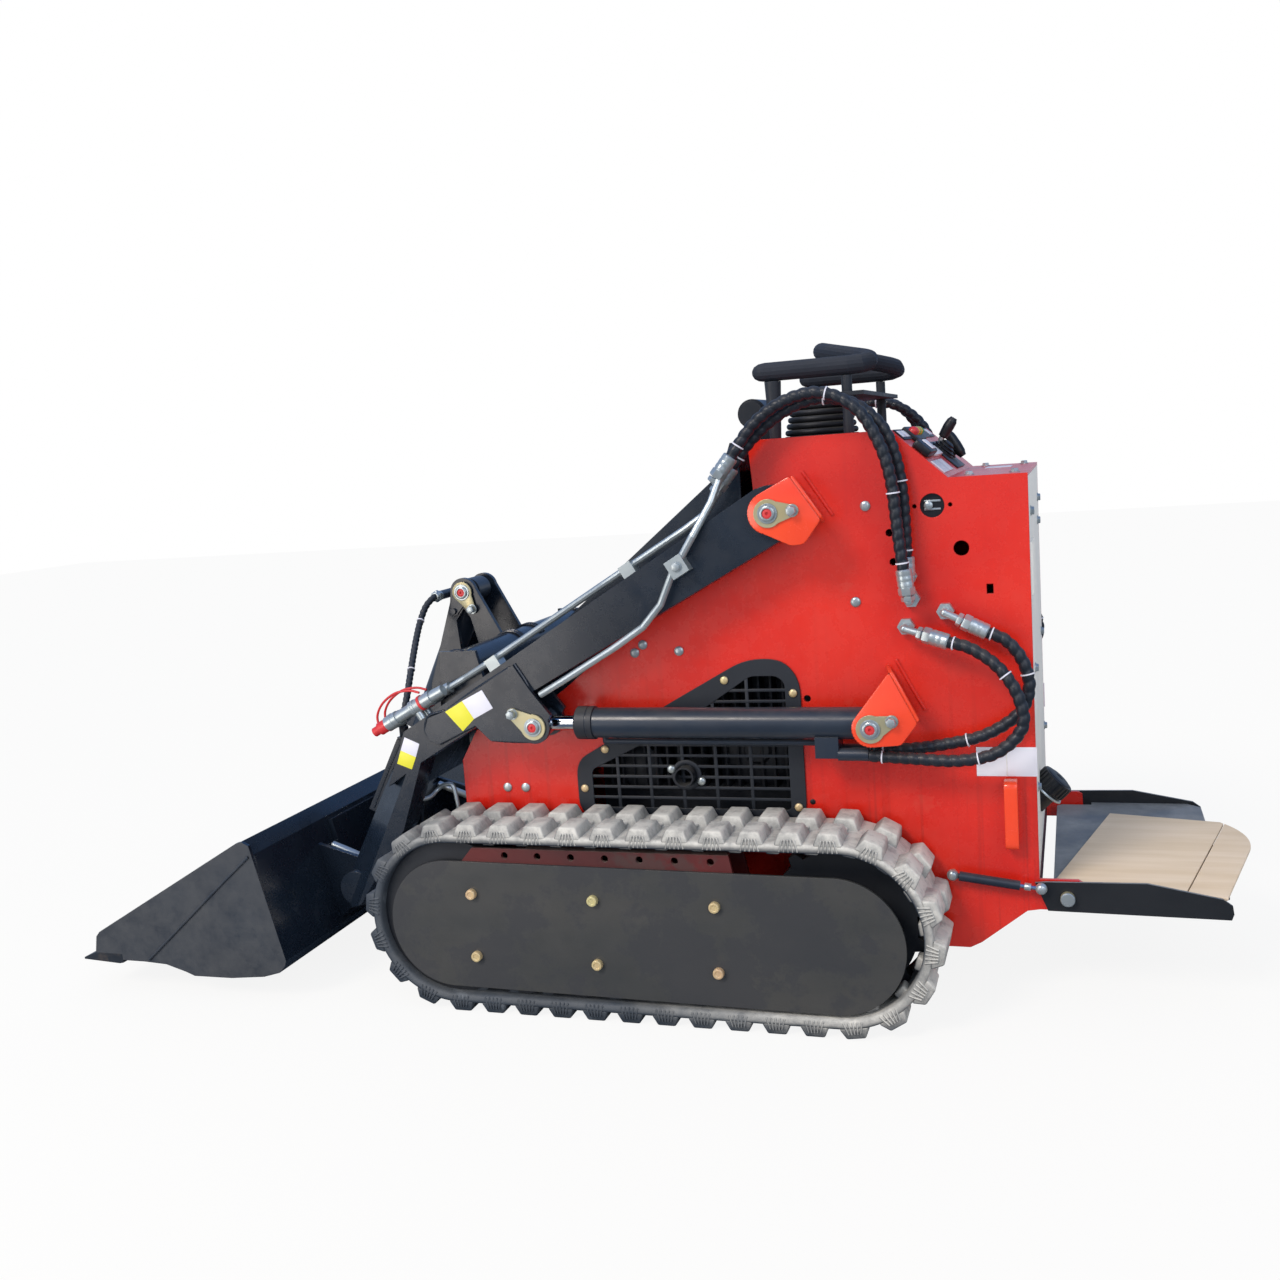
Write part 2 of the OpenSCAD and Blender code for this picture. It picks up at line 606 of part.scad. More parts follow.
module tilt_barrel() color("#2c2f32") along_tilt() difference() {
    union() {
        translate([0, 30, 0]) rotate([90, 0, 0]) cylinder(h = 60, d = 56);
        translate([20, 0, 0]) rotate([0, 90, 0]) cylinder(h = 400, d = tilt_d);
        translate([400, 0, 0]) rotate([0, 90, 0]) cylinder(h = 22, d = tilt_d + 6);
        translate([32, 0, 26]) cylinder(h = 26, d = 20);
        translate([32, 66, 52]) rotate([90, 0, 0]) cylinder(h = 132, d = 21);
        translate([340, -14, 20]) cube([36, 28, 30]);
    }
    translate([0, 40, 0]) rotate([90, 0, 0]) cylinder(h = 80, d = 28);
    translate([50, 0, 0]) rotate([0, 90, 0]) cylinder(h = 345, d = 48);
    translate([300, 0, 0]) rotate([0, 90, 0]) cylinder(h = 160, d = tilt_rod_d + 0.6);
}
module tilt_rod() color("#c4c9cc") along_tilt() {
    translate([tilt_len - 300, 0, 0]) rotate([0, 90, 0]) cylinder(h = 276, d = tilt_rod_d);
    translate([tilt_len, 31.7, 0]) rotate([90, 0, 0]) cylinder(h = 63.4, d = 36);
    translate([tilt_len, 24, 0]) rotate([90, 0, 0]) cylinder(h = 48, d = 56);
}

// A point on the bucket's back sheet, a share of the way up and a distance behind it
back_a = [772, 96];
back_b = [828, 322];
back_n = [back_a[1] - back_b[1], back_b[0] - back_a[0]] / norm(back_b - back_a);
function on_back(t, d = 0) = back_a + t * (back_b - back_a) + d * back_n;
module quick_attach() color("#2f3235") {
    // Frame plate against the bucket
    side(-235, 235) polygon([on_back(0.03), on_back(0.96), on_back(0.96, 12), on_back(0.03, 12)]);
    // Pivot ears inside the arms
    both() {
        difference() {
            side(ear_y0, ear_y1) polygon([
                [654, 190], [654, 222], [668, 236], on_back(0.8), on_back(0.05), [700, 172], [668, 176]
            ]);
            bar(qp, ear_y0 - 5, ear_y1 + 3, 29.8);
        }
        side(235, ear_y0) polygon([on_back(0.05), on_back(0.75), on_back(0.75, 12), on_back(0.05, 12)]);
    }
    // Ears for the tilt cylinder
    both() difference() {
        side(32, 46) polygon([
            [724, 326], [728, 348], [752, 358], [774, 350], on_back(0.96, 12), on_back(0.05, 12),
            [742, 130], [733, 250]
        ]);
        bar(te, 25, 50, 28);
    }
}
// Side view of the bucket: underside and back, then the same sheet's inner face
shell_under = [
    [1190, 74], [1132, 74], [1076, 71], [1027, 57], [1006, 49], [912, 50], [830, 58], [791, 69], [776, 84]
];
module bucket() color("#3a3d40") {
    side(-bucket_w / 2 + bucket_t, bucket_w / 2 - bucket_t) polygon(concat(shell_under, [
        back_a, back_b, [851, 351], [859, 346], back_b + [8.4, -2], back_a + [8.2, 1], [784, 88],
        [795, 77], [831, 66], [912, 58], [1004, 57], [1024, 65], [1075, 79], [1132, 82], [1190, 82]
    ]));
    both() side(bucket_w / 2 - bucket_t, bucket_w / 2) polygon(concat(shell_under, [
        back_a, [832, 343], [849, 351], [861, 348], [tip_x - 50, 136], [tip_x - 40, 125],
        [tip_x - 33, 88], [1190, 88]
    ]));
}
module cutting_edge() color("#5a5e60") side(-bucket_w / 2, bucket_w / 2)
    polygon([[1190, 68], [1190, 88], [tip_x - 33, 88], [tip_x, 75], [tip_x, 71], [1200, 66]]);

module platform_deck() color("#2f3235") {
    both() side(stand_y - 6, stand_y) difference() {
        translate(fp) polygon([
            [57, 27], [35, -26], [-276, -30], [-280, -19], [-278, -4], [-262, 8],
            [-137, 32], [37, 29]
        ]);
        translate(fp) circle(r = 8.3);
    }
    both() bar(se, stand_y, spring_y - 8.3, 10);
    // Floor with a narrower front between the pivots, and a lip under it
    translate([0, 0, fp[1] - 3]) linear_extrude(6) polygon(mirrored([
        [fp[0] + 26, 0], [fp[0] + 26, pi_y - 20], [fp[0] + 16, pi_y - 8], [fp[0] - 48, pi_y - 8],
        [fp[0] - 48, stand_y - 6], [fp[0] - 250, stand_y - 6], [fp[0] - 276, stand_y - 32], [fp[0] - 276, 0]
    ]));
    translate([fp[0] - 56, -stand_y + 6, fp[1] - 28]) cube([8, 2 * stand_y - 12, 25]);
}
// A half outline with its mirror image across the machine
function mirrored(p) = concat(p, [for (i = [len(p) - 1 : -1 : 0]) [p[i][0], -p[i][1]]]);
module platform_board() color("#d8b892") translate([board_at[0], board_at[1], fp[1] + 3]) rotate(board_turn)
    linear_extrude(board_t) difference() {
        translate([-board_long, -board_wide]) square([board_long, board_wide]);
        difference() {
            translate([-board_long - 1, -board_wide - 1])
                square([board_r + 1, board_wide + board_arc[1] + 1]);
            translate(board_arc) circle(r = board_r, $fn = 96);
        }
    }

module along_spring() translate([sb[0], spring_y, sb[1]])
    rotate([0, -atan2(se[1] - sb[1], se[0] - sb[0]), 0]) children();
spring_len = norm(se - sb);
module spring_bodies() color("#26282a") both() along_spring() {
    translate([0, 7, 0]) rotate([90, 0, 0]) cylinder(h = 14, d = 16);
    rotate([0, 90, 0]) cylinder(h = 20, d = 10);
    difference() {
        translate([12, 0, 0]) rotate([0, 90, 0]) cylinder(h = 110, d = 18);
        translate([34, 0, 0]) rotate([0, 90, 0]) cylinder(h = 90, d = 8.6);
    }
}
module spring_rods() color("#c4c9cc") both() along_spring() {
    translate([spring_len - 115, 0, 0]) rotate([0, 90, 0]) cylinder(h = 115, d = 8);
    translate([spring_len, 0, 0]) sphere(d = 16);
}

placed() side_plates();
placed() cross_frame();
placed() front_hood();
placed() control_deck();
placed() rear_panel();
placed() engine_block();
placed() engine_cowl();
placed() air_filter();
placed() handlebar();
placed() handle_posts();
placed() control_levers();
placed() side_grilles();
placed() exhaust_pipe();
placed() lift_brackets();
placed() pivot_pins();
placed() track_left();
placed() track_right();
placed() track_frames();
placed() track_rollers();
placed() track_covers();
placed() cover_bolts();
placed() hose_fittings();
placed() loop_hoses();
placed() arm_hoses();
placed() filler_cap();
placed() grab_handles();
placed() lift_arms();
placed() arm_pins();
placed() cross_tube();
placed() arm_pipes();
placed() couplers();
placed() dust_caps();
placed() tilt_hoses();
placed() lift_barrels();
placed() lift_rods();
placed() tilt_barrel();
placed() tilt_rod();
placed() quick_attach();
placed() bucket();
placed() cutting_edge();
placed() platform_deck();
placed() platform_board();
placed() spring_bodies();
placed() spring_rods();
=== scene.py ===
import math
import bpy
import bmesh
from mathutils import Matrix, Vector


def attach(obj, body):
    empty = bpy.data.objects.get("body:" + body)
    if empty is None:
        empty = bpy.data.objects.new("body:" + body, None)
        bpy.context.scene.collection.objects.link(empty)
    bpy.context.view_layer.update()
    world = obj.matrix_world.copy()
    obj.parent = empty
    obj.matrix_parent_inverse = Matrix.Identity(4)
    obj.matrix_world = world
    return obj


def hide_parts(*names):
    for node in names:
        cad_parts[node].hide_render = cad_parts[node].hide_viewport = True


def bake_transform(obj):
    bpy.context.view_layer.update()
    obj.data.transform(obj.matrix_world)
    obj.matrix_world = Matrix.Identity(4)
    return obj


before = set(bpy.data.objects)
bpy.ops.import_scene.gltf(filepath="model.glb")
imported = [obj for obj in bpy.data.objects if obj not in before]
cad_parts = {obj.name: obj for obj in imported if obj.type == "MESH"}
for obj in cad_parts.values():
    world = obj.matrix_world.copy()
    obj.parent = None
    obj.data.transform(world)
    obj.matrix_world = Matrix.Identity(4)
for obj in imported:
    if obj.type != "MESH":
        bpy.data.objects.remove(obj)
print("frame loaded,", len(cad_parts), "nodes")


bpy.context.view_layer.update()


def linear(hexColour):
    parts = [int(hexColour[i:i + 2], 16) / 255 for i in (1, 3, 5)]
    return [c / 12.92 if c <= 0.04045 else ((c + 0.055) / 1.055) ** 2.4 for c in parts] + [1.0]


def add(tree, kind, links=None, **settings):
    node = tree.nodes.new("ShaderNode" + kind)
    for key, value in settings.items():
        setattr(node, key, value)
    for name, source in (links or {}).items():
        if isinstance(source, bpy.types.NodeSocket):
            tree.links.new(source, node.inputs[name])
        else:
            node.inputs[name].default_value = source
    return node


# camera, fitted to the track's lugs, the cover's bolts and the side plate's edges
view = {"at": (-0.8964, 2.7277, 1.0908), "yaw": 0.32964, "pitch": 0.14307, "roll": -0.073076, "lens": 36.5625}
s, c = math.sin(view["yaw"]), math.cos(view["yaw"])
ahead = Vector((s * math.cos(view["pitch"]), -c * math.cos(view["pitch"]), -math.sin(view["pitch"])))
level = Vector((-c, -s, 0))
upright = level.cross(ahead)
right = level * math.cos(view["roll"]) + upright * math.sin(view["roll"])
up = upright * math.cos(view["roll"]) - level * math.sin(view["roll"])
camera = bpy.data.objects.new("photoCamera", bpy.data.cameras.new("photoCamera"))
camera.data.lens = view["lens"]
camera.data.sensor_width = 36
camera.matrix_world = Matrix((right, up, -ahead)).transposed().to_4x4()
camera.matrix_world.translation = Vector(view["at"])
bpy.context.collection.objects.link(camera)
bpy.context.scene.camera = camera
bpy.context.scene.view_settings.view_transform = "Standard"

# floor and soft light
floorMesh = bpy.data.meshes.new("floor")
bm = bmesh.new()
bmesh.ops.create_grid(bm, x_segments=1, y_segments=1, size=14)
bm.to_mesh(floorMesh)
bm.free()
floor = bpy.data.objects.new("floor", floorMesh)
bpy.context.collection.objects.link(floor)
floorLook = bpy.data.materials.new("paperFloor")
floorLook.use_nodes = True
tree = floorLook.node_tree
tree.nodes.clear()
seen = add(tree, "LightPath")
# white paper, which gloss on the object shows as the darker ground of a yard
ground = add(tree, "Mix", {0: seen.outputs["Is Glossy Ray"]}, data_type="RGBA")
ground.inputs[6].default_value = linear("#E6E4E0")
ground.inputs[7].default_value = linear("#5C6B80")
paper = add(tree, "BsdfDiffuse", {0: ground.outputs[2]})
glow = add(tree, "Emission", {0: linear("#FFFFFF"), 1: 1.0})
share = add(tree, "Math", {0: seen.outputs["Is Camera Ray"], 1: 0.88}, operation="MULTIPLY")
lit = add(tree, "MixShader", {0: share.outputs[0], 1: paper.outputs[0], 2: glow.outputs[0]})
add(tree, "OutputMaterial", {0: lit.outputs[0]})
floorMesh.materials.append(floorLook)

studio = {
    # the soft dome that lights the object, and the clear sky that its gloss shows
    "dome": {"ground": "#A39D95", "horizon": "#F2F1EF", "low": "#DFE6F0", "sky": "#CDD9EA"},
    "mirrored": {"ground": "#6B6E74", "horizon": "#C4D2E6", "low": "#7FA8E2", "sky": "#4F84D2"},
    "strength": 0.8,
    "lamps": [
        {"kind": "SUN", "turn": (50, 0, 152), "power": 1.7, "size": 0.3, "colour": "#FFF4E6"},
        {"kind": "AREA", "at": (-3.4, 4.4, 3.2), "aim": (-0.2, 0.2, 0.6), "power": 60, "size": 3.0, "colour": "#FFFFFF"},
        {"kind": "AREA", "at": (1.6, 2.4, 0.7), "aim": (0.4, 0.3, 0.5), "power": 17, "size": 1.4, "colour": "#FFF6EC"},
    ],
}
world = bpy.data.worlds.new("studio")
bpy.context.scene.world = world
world.use_nodes = True
tree = world.node_tree
tree.nodes.clear()
height = add(tree, "SeparateXYZ", {0: add(tree, "TexCoord").outputs["Generated"]})
level = add(tree, "MapRange", {0: height.outputs["Z"], 1: -0.4, 2: 0.9})
skies = []
for tints in (studio["dome"], studio["mirrored"]):
    ramp = add(tree, "ValToRGB", {0: level.outputs[0]})
    ramp.color_ramp.elements[0].color = linear(tints["ground"])
    ramp.color_ramp.elements[1].color = linear(tints["sky"])
    for place, tint in [(0.3, "horizon"), (0.39, "horizon"), (0.5, "low")]:
        ramp.color_ramp.elements.new(place).color = linear(tints[tint])
    skies.append(add(tree, "Background", {0: ramp.outputs[0], 1: studio["strength"]}))
seen = add(tree, "LightPath")
soft = add(tree, "MixShader", {0: seen.outputs["Is Glossy Ray"], 1: skies[0].outputs[0], 2: skies[1].outputs[0]})
plain = add(tree, "Background", {0: linear("#FFFFFF"), 1: 1.0})
both = add(tree, "MixShader", {0: seen.outputs["Is Camera Ray"], 1: soft.outputs[0], 2: plain.outputs[0]})
add(tree, "OutputWorld", {0: both.outputs[0]})
for lamp in studio["lamps"]:
    data = bpy.data.lights.new("lamp", lamp["kind"])
    data.energy = lamp["power"]
    data.color = linear(lamp["colour"])[:3]
    item = bpy.data.objects.new("lamp", data)
    bpy.context.collection.objects.link(item)
    if lamp["kind"] == "SUN":
        data.angle = lamp["size"]
        item.rotation_euler = [math.radians(a) for a in lamp["turn"]]
    else:
        data.size = lamp["size"]
        item.location = lamp["at"]
        item.rotation_euler = (Vector(lamp["aim"]) - Vector(lamp["at"])).to_track_quat("-Z", "Y").to_euler()
print("camera and light set")


# materials, each a base colour that drifts, worn patches, a fine grain, and dust on upward faces, which on the tracks
# is partly painted light
def surface(name, look):
    material = bpy.data.materials.new(name)
    material.use_nodes = True
    tree = material.node_tree
    shader = tree.nodes["Principled BSDF"]
    where = add(tree, "TexCoord").outputs["Object"]
    drawn = add(tree, "Mapping", {"Vector": where, "Scale": look.get("stretch", (1, 1, 1))}).outputs[0]
    clouds = add(tree, "TexNoise", {"Vector": drawn, "Scale": look.get("cloudScale", 5.0), "Detail": 5.0})
    drift = add(tree, "MapRange", {0: clouds.outputs[0], 1: 0.35, 2: 0.65})
    colour = add(tree, "Mix", {0: drift.outputs[0]}, data_type="RGBA")
    colour.inputs[6].default_value = linear(look["colour"])
    colour.inputs[7].default_value = linear(look["second"])
    last = colour.outputs[2]
    grain = add(tree, "TexNoise", {"Vector": drawn, "Scale": 1000 / look["grain"], "Detail": 3.0})
    scuff = add(tree, "TexNoise", {"Vector": where, "Scale": look.get("scuffScale", 22.0), "Detail": 8.0, "Roughness": 0.7})
    rough, spread = look["rough"], look.get("roughSpread", 0.12)
    roughness = add(tree, "MapRange", {0: scuff.outputs[0], 1: 0.3, 2: 0.7, 3: rough - spread / 2, 4: rough + spread})
    roughOut = roughness.outputs[0]
    if look.get("patch"):
        blots = add(tree, "TexNoise", {"Vector": where, "Scale": look.get("patchScale", 7.0), "Detail": 9.0, "Roughness": 0.68})
        edge = look.get("patchFrom", 0.57)
        worn = add(tree, "MapRange", {0: blots.outputs[0], 1: edge, 2: edge + 0.05, 3: 0.0, 4: look.get("patchShare", 0.8)})
        rubbed = add(tree, "Mix", {0: worn.outputs[0], 6: last}, data_type="RGBA")
        rubbed.inputs[7].default_value = linear(look["patch"])
        last = rubbed.outputs[2]
        roughOut = add(tree, "Mix", {0: worn.outputs[0], 2: roughOut, 3: 0.7}).outputs[0]
    if look.get("streak"):
        # thin runs that rain leaves, one every 12 mm or so, stronger low down
        runs = add(tree, "Mapping", {"Vector": where, "Scale": (80, 80, 1.6)}).outputs[0]
        lines = add(tree, "TexNoise", {"Vector": runs, "Scale": 1.0, "Detail": 2.0})
        low = add(tree, "MapRange", {0: add(tree, "SeparateXYZ", {0: where}).outputs["Z"], 1: 0.7, 2: 0.3, 3: 0.05, 4: 0.4})
        marked = add(tree, "MapRange", {0: lines.outputs[0], 1: 0.56, 2: 0.7, 3: 0.0, 4: 1.0})
        amount = add(tree, "Math", {0: marked.outputs[0], 1: low.outputs[0]}, operation="MULTIPLY")
        run = add(tree, "Mix", {0: amount.outputs[0], 6: last}, data_type="RGBA")
        run.inputs[7].default_value = linear(look["streak"])
        last = run.outputs[2]
    # the pale mix toward one side is dust; on the tracks it is also a painted highlight on the faces toward the light
    if look.get("dust"):
        toward = Vector(look.get("dustToward", (0, 0, 1))).normalized()
        facing = add(tree, "VectorMath", {0: add(tree, "NewGeometry").outputs["Normal"], 1: toward}, operation="DOT_PRODUCT")
        side = add(tree, "Math", {0: facing.outputs["Value"]}, operation="ABSOLUTE") if look.get("bothSides") else facing
        level = side.outputs["Value"]
        upward = add(tree, "MapRange", {0: level, 1: look.get("dustFrom", 0.3), 2: 0.95, 3: look.get("dustBelow", 0.0), 4: 1.0})
        patches = add(tree, "MapRange", {0: scuff.outputs[0], 1: 0.3, 2: 0.72, 3: 0.35, 4: 1.0})
        share = add(tree, "Math", {0: upward.outputs[0], 1: patches.outputs[0]}, operation="MULTIPLY")
        # makes higher, rearward parts paler still: on the tracks, dust together with a painted highlight of the lit
        # upper and rear runs
        if look.get("dustAndLightAlong"):
            lean = add(tree, "VectorMath", {0: where, 1: look["dustAndLightAlong"]}, operation="DOT_PRODUCT")
            settledAndLit = add(tree, "MapRange", {0: lean.outputs["Value"], 1: 0.06, 2: 0.3, 3: 0.1, 4: 1.0})
            share = add(tree, "Math", {0: share.outputs[0], 1: settledAndLit.outputs[0]}, operation="MULTIPLY")
        amount = add(tree, "Math", {0: share.outputs[0], 1: look["dust"]}, operation="MULTIPLY")
        dustAndLightMix = add(tree, "Mix", {0: amount.outputs[0], 6: last}, data_type="RGBA")
        dustAndLightMix.inputs[7].default_value = linear(look.get("dustColour", "#B9B3A8"))
        last = dustAndLightMix.outputs[2]
        roughOut = add(tree, "Mix", {0: amount.outputs[0], 2: roughOut, 3: 0.85}).outputs[0]
    edges = add(tree, "Bevel", {"Radius": look.get("edge", 1.6) / 1000}, samples=4)
    bump = add(tree, "Bump", {"Strength": look["bump"], "Distance": look["grain"] / 4000, "Height": grain.outputs[0]})
    tree.links.new(edges.outputs[0], bump.inputs["Normal"])
    tree.links.new(last, shader.inputs["Base Color"])
    tree.links.new(roughOut, shader.inputs["Roughness"])
    tree.links.new(bump.outputs[0], shader.inputs["Normal"])
    shader.inputs["Metallic"].default_value = look.get("metal", 0.0)
    shader.inputs["Coat Weight"].default_value = look.get("coat", 0.0)
    shader.inputs["Coat Roughness"].default_value = 0.12
    return material


finishes = {
    # two-pack enamel sprayed on sheet steel: glossy, with a slight orange peel
    "sprayedRedEnamel": {
        "colour": "#CC2116", "second": "#D62C1E", "rough": 0.24, "grain": 3.0, "bump": 0.05, "coat": 0.22, "dust": 0.1,
        "patch": "#CE4A38", "patchFrom": 0.66, "patchShare": 0.3, "patchScale": 9.0, "streak": "#8E211B"},
    # the same enamel, painted lighter and more orange as a painted highlight for the gloss on the bent brackets and
    # handles
    "highlightRedEnamel": {"colour": "#E23C1E", "second": "#EA4A24", "rough": 0.2, "grain": 3.0, "bump": 0.05, "coat": 0.5, "edge": 3.0},
    # the same enamel on the frame inside the tracks, darkened as painted shade, under more dust
    "shadedFrameRedEnamel": {
        "colour": "#5E1A19", "second": "#471A1A", "rough": 0.45, "grain": 3.0, "bump": 0.1, "dust": 0.3,
        "patch": "#3E302E", "patchShare": 0.6},
    # black enamel on rolled plate: blue-black, reflects the sky
    "blackEnamel": {"colour": "#101823", "second": "#16202D", "rough": 0.25, "grain": 2.5, "bump": 0.06, "coat": 0.25, "dust": 0.04},
    # black enamel on drawn tube
    "tubeEnamel": {"colour": "#1C2532", "second": "#232D3B", "rough": 0.34, "grain": 2.0, "bump": 0.05, "coat": 0.15, "dust": 0.08},
    # black enamel rubbed dull by handling
    "dullBlackEnamel": {"colour": "#1A1F27", "second": "#22272F", "rough": 0.5, "grain": 2.5, "bump": 0.1, "dust": 0.15},
    # black enamel of the covers, with the clouds that dried rain leaves in dust
    "rainMarkedEnamel": {
        "colour": "#363839", "second": "#40403F", "rough": 0.36, "grain": 2.5, "bump": 0.08, "coat": 0.1, "stretch": (0.55, 1, 1.5),
        "patch": "#2B2D33", "patchFrom": 0.48, "patchShare": 0.55, "patchScale": 5.0},
    # black enamel of the bucket, scraped through by earth, with dry mud on its outer sides
    "scrapedEnamel": {
        "colour": "#121A26", "second": "#1A2431", "rough": 0.24, "grain": 2.5, "bump": 0.1, "coat": 0.3, "dust": 0.8,
        "dustToward": (0, 1, 0), "bothSides": True, "dustFrom": 0.8, "dustColour": "#43464A",
        "patch": "#353B44", "patchFrom": 0.62, "patchShare": 0.5, "patchScale": 5.0},
    # black enamel with its floor scuffed to bare steel by boots
    "bootScuffedSteel": {
        "colour": "#17191C", "second": "#202225", "rough": 0.36, "grain": 3.0, "bump": 0.15, "coat": 0.15, "dust": 1.0,
        "dustFrom": 0.7, "dustColour": "#8C9094", "scuffScale": 9.0},
    # sheet steel with thin primer
    "greyPrimer": {"colour": "#EAE9E5", "second": "#E0E0DE", "rough": 0.52, "grain": 2.0, "bump": 0.08, "dust": 0.1},
    # cast iron and moulded covers in the engine bay
    "engineBlack": {"colour": "#15181E", "second": "#20242B", "rough": 0.5, "grain": 1.6, "bump": 0.25, "dust": 0.15},
    "mouldedBlack": {"colour": "#0E1116", "second": "#171B21", "rough": 0.36, "grain": 1.0, "bump": 0.12, "dust": 0.08},
    # closed-cell foam on the bar
    "foamGrip": {"colour": "#161C26", "second": "#1D2430", "rough": 0.7, "grain": 2.2, "bump": 0.5, "dust": 0.08, "edge": 0.5},
    # vulcanised rubber with dry dust on it and painted light: the pale grey, laid thick on what faces up and back and
    # on the upper, rear runs, is partly dust and partly a painted highlight of the lit side
    "trackRubber": {
        "colour": "#1F2A37", "second": "#293543", "rough": 0.62, "grain": 4.0, "bump": 0.45, "dust": 1.5, "dustFrom": -0.3,
        "dustToward": (-0.5, 0.28, 0.82), "dustAndLightAlong": (-0.5, 0, 1), "dustColour": "#CFCECA", "scuffScale": 30.0,
        "patch": "#5A6470", "patchFrom": 0.6, "patchShare": 0.4, "patchScale": 16.0},
    # zinc plate, blue-white, on fittings and pipes
    "zincPlate": {"colour": "#C2CACB", "second": "#A9B2B4", "rough": 0.3, "grain": 1.4, "bump": 0.12, "metal": 0.7, "dust": 0.08, "edge": 0.6},
    # yellow chromate on pressed keepers, coppery on the bolts
    "yellowZinc": {"colour": "#C6B88C", "second": "#B9B99E", "rough": 0.32, "grain": 1.4, "bump": 0.1, "metal": 0.6, "cloudScale": 22.0},
    "copperZinc": {"colour": "#DDBB95", "second": "#D6CC96", "rough": 0.34, "grain": 1.4, "bump": 0.1, "metal": 0.45, "cloudScale": 9.0, "edge": 0.6},
    # hard chrome on ground rod
    "hardChrome": {"colour": "#D5D9DC", "second": "#C6CBCF", "rough": 0.1, "grain": 0.8, "bump": 0.04, "metal": 1.0, "roughSpread": 0.05},
    # worn steel of the blade
    "bareSteel": {
        "colour": "#23282F", "second": "#303740", "rough": 0.36, "grain": 1.5, "bump": 0.3, "metal": 0.4, "dust": 0.2,
        "patch": "#564C44", "patchFrom": 0.62, "patchShare": 0.4},
    # birch plywood, grain across the machine
    "plywood": {
        "colour": "#DCCAB6", "second": "#D2BEA6", "rough": 0.75, "grain": 1.8, "bump": 0.2, "cloudScale": 20.0,
        "stretch": (0.2, 1.6, 1.0), "edge": 0.5, "patch": "#B79A80", "patchFrom": 0.72, "patchShare": 0.5, "patchScale": 16.0},
    # black polyamide hose guard
    "hoseGuard": {"colour": "#151A22", "second": "#1D242E", "rough": 0.4, "grain": 1.2, "bump": 0.1, "dust": 0.12, "edge": 0.4},
    # white nylon, printed film and paper
    "whiteFilm": {"colour": "#D2D4E6", "second": "#DADBE8", "rough": 0.35, "grain": 1.0, "bump": 0.03, "dust": 0.06, "edge": 0.2},
    "yellowFilm": {"colour": "#D6D22C", "second": "#DCD83C", "rough": 0.35, "grain": 1.0, "bump": 0.03, "edge": 0.2},
    "amberLens": {"colour": "#D98A1E", "second": "#E09A2C", "rough": 0.2, "grain": 1.0, "bump": 0.03, "edge": 0.5},
    "greenLens": {"colour": "#4E9A3C", "second": "#5AA646", "rough": 0.2, "grain": 1.0, "bump": 0.03, "edge": 0.5},
    # soft vinyl caps
    "redVinyl": {"colour": "#C4282C", "second": "#CC3438", "rough": 0.4, "grain": 1.2, "bump": 0.1, "coat": 0.15, "edge": 0.6},
}
looks = {name: surface(name, look) for name, look in finishes.items()}
nodeFinish = {
    "sprayedRedEnamel": ["side_plates", "control_deck"],
    # brackets and handles get the lighter red, a painted highlight
    "highlightRedEnamel": ["lift_brackets", "grab_handles"],
    # the frame inside the tracks gets the darker red, a painted shade
    "shadedFrameRedEnamel": ["cross_frame", "track_frames"],
    "blackEnamel": ["front_hood", "lift_arms", "cross_tube", "quick_attach"],
    "tubeEnamel": ["lift_barrels", "tilt_barrel", "spring_bodies"],
    "scrapedEnamel": ["bucket"],
    "dullBlackEnamel": ["side_grilles", "handle_posts"],
    "rainMarkedEnamel": ["track_covers"],
    "bootScuffedSteel": ["platform_deck"],
    "greyPrimer": ["rear_panel"],
    "engineBlack": ["engine_block", "engine_cowl", "exhaust_pipe", "track_rollers"],
    "mouldedBlack": ["air_filter", "control_levers", "filler_cap"],
    "foamGrip": ["handlebar"],
    "trackRubber": ["track_left", "track_right"],
    "zincPlate": ["hose_fittings", "arm_pipes", "couplers"],
    "yellowZinc": ["pivot_pins", "arm_pins"],
    "copperZinc": ["cover_bolts"],
    "hardChrome": ["lift_rods", "tilt_rod", "spring_rods"],
    "bareSteel": ["cutting_edge"],
    "plywood": ["platform_board"],
    "hoseGuard": ["loop_hoses", "arm_hoses", "tilt_hoses"],
    "redVinyl": ["dust_caps"],
}


def dress(node, material):
    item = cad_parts[node]
    item = item[0] if isinstance(item, (list, tuple)) else item
    for slot in item.material_slots:
        slot.material = material


for name, nodes in nodeFinish.items():
    for node in nodes:
        dress(node, looks[name])
print("materials on every node")


# place in millimetres from the middle of the tracks, x forward, y left, z up
def at(x, y, z):
    return Vector((x - 84.686, y, z)) / 1000


def facing(point, axis, spin=0.0):
    turn = Vector(axis).to_track_quat("Z", "Y").to_matrix().to_4x4()
    return Matrix.Translation(point) @ turn @ Matrix.Rotation(math.radians(spin), 4, "Z")


# adds a small part to the mesh of a piece
def join(bm, part, where):
    bmesh.ops.transform(part, matrix=where, verts=part.verts[:])
    scrap = bpy.data.meshes.new("scrap")
    part.to_mesh(scrap)
    part.free()
    bm.from_mesh(scrap)
    bpy.data.meshes.remove(scrap)


# turned part: radius and height of each step, in millimetres
def turned(profile, sides=20):
    part = bmesh.new()
    chain = [part.verts.new((r / 1000, 0, h / 1000)) for r, h in profile]
    edges = [part.edges.new(pair) for pair in zip(chain, chain[1:])]
    bmesh.ops.spin(part, geom=chain + edges, axis=(0, 0, 1), cent=(0, 0, 0), angle=2 * math.pi, steps=sides, use_merge=True)
    bmesh.ops.remove_doubles(part, verts=part.verts[:], dist=1e-6)
    return part


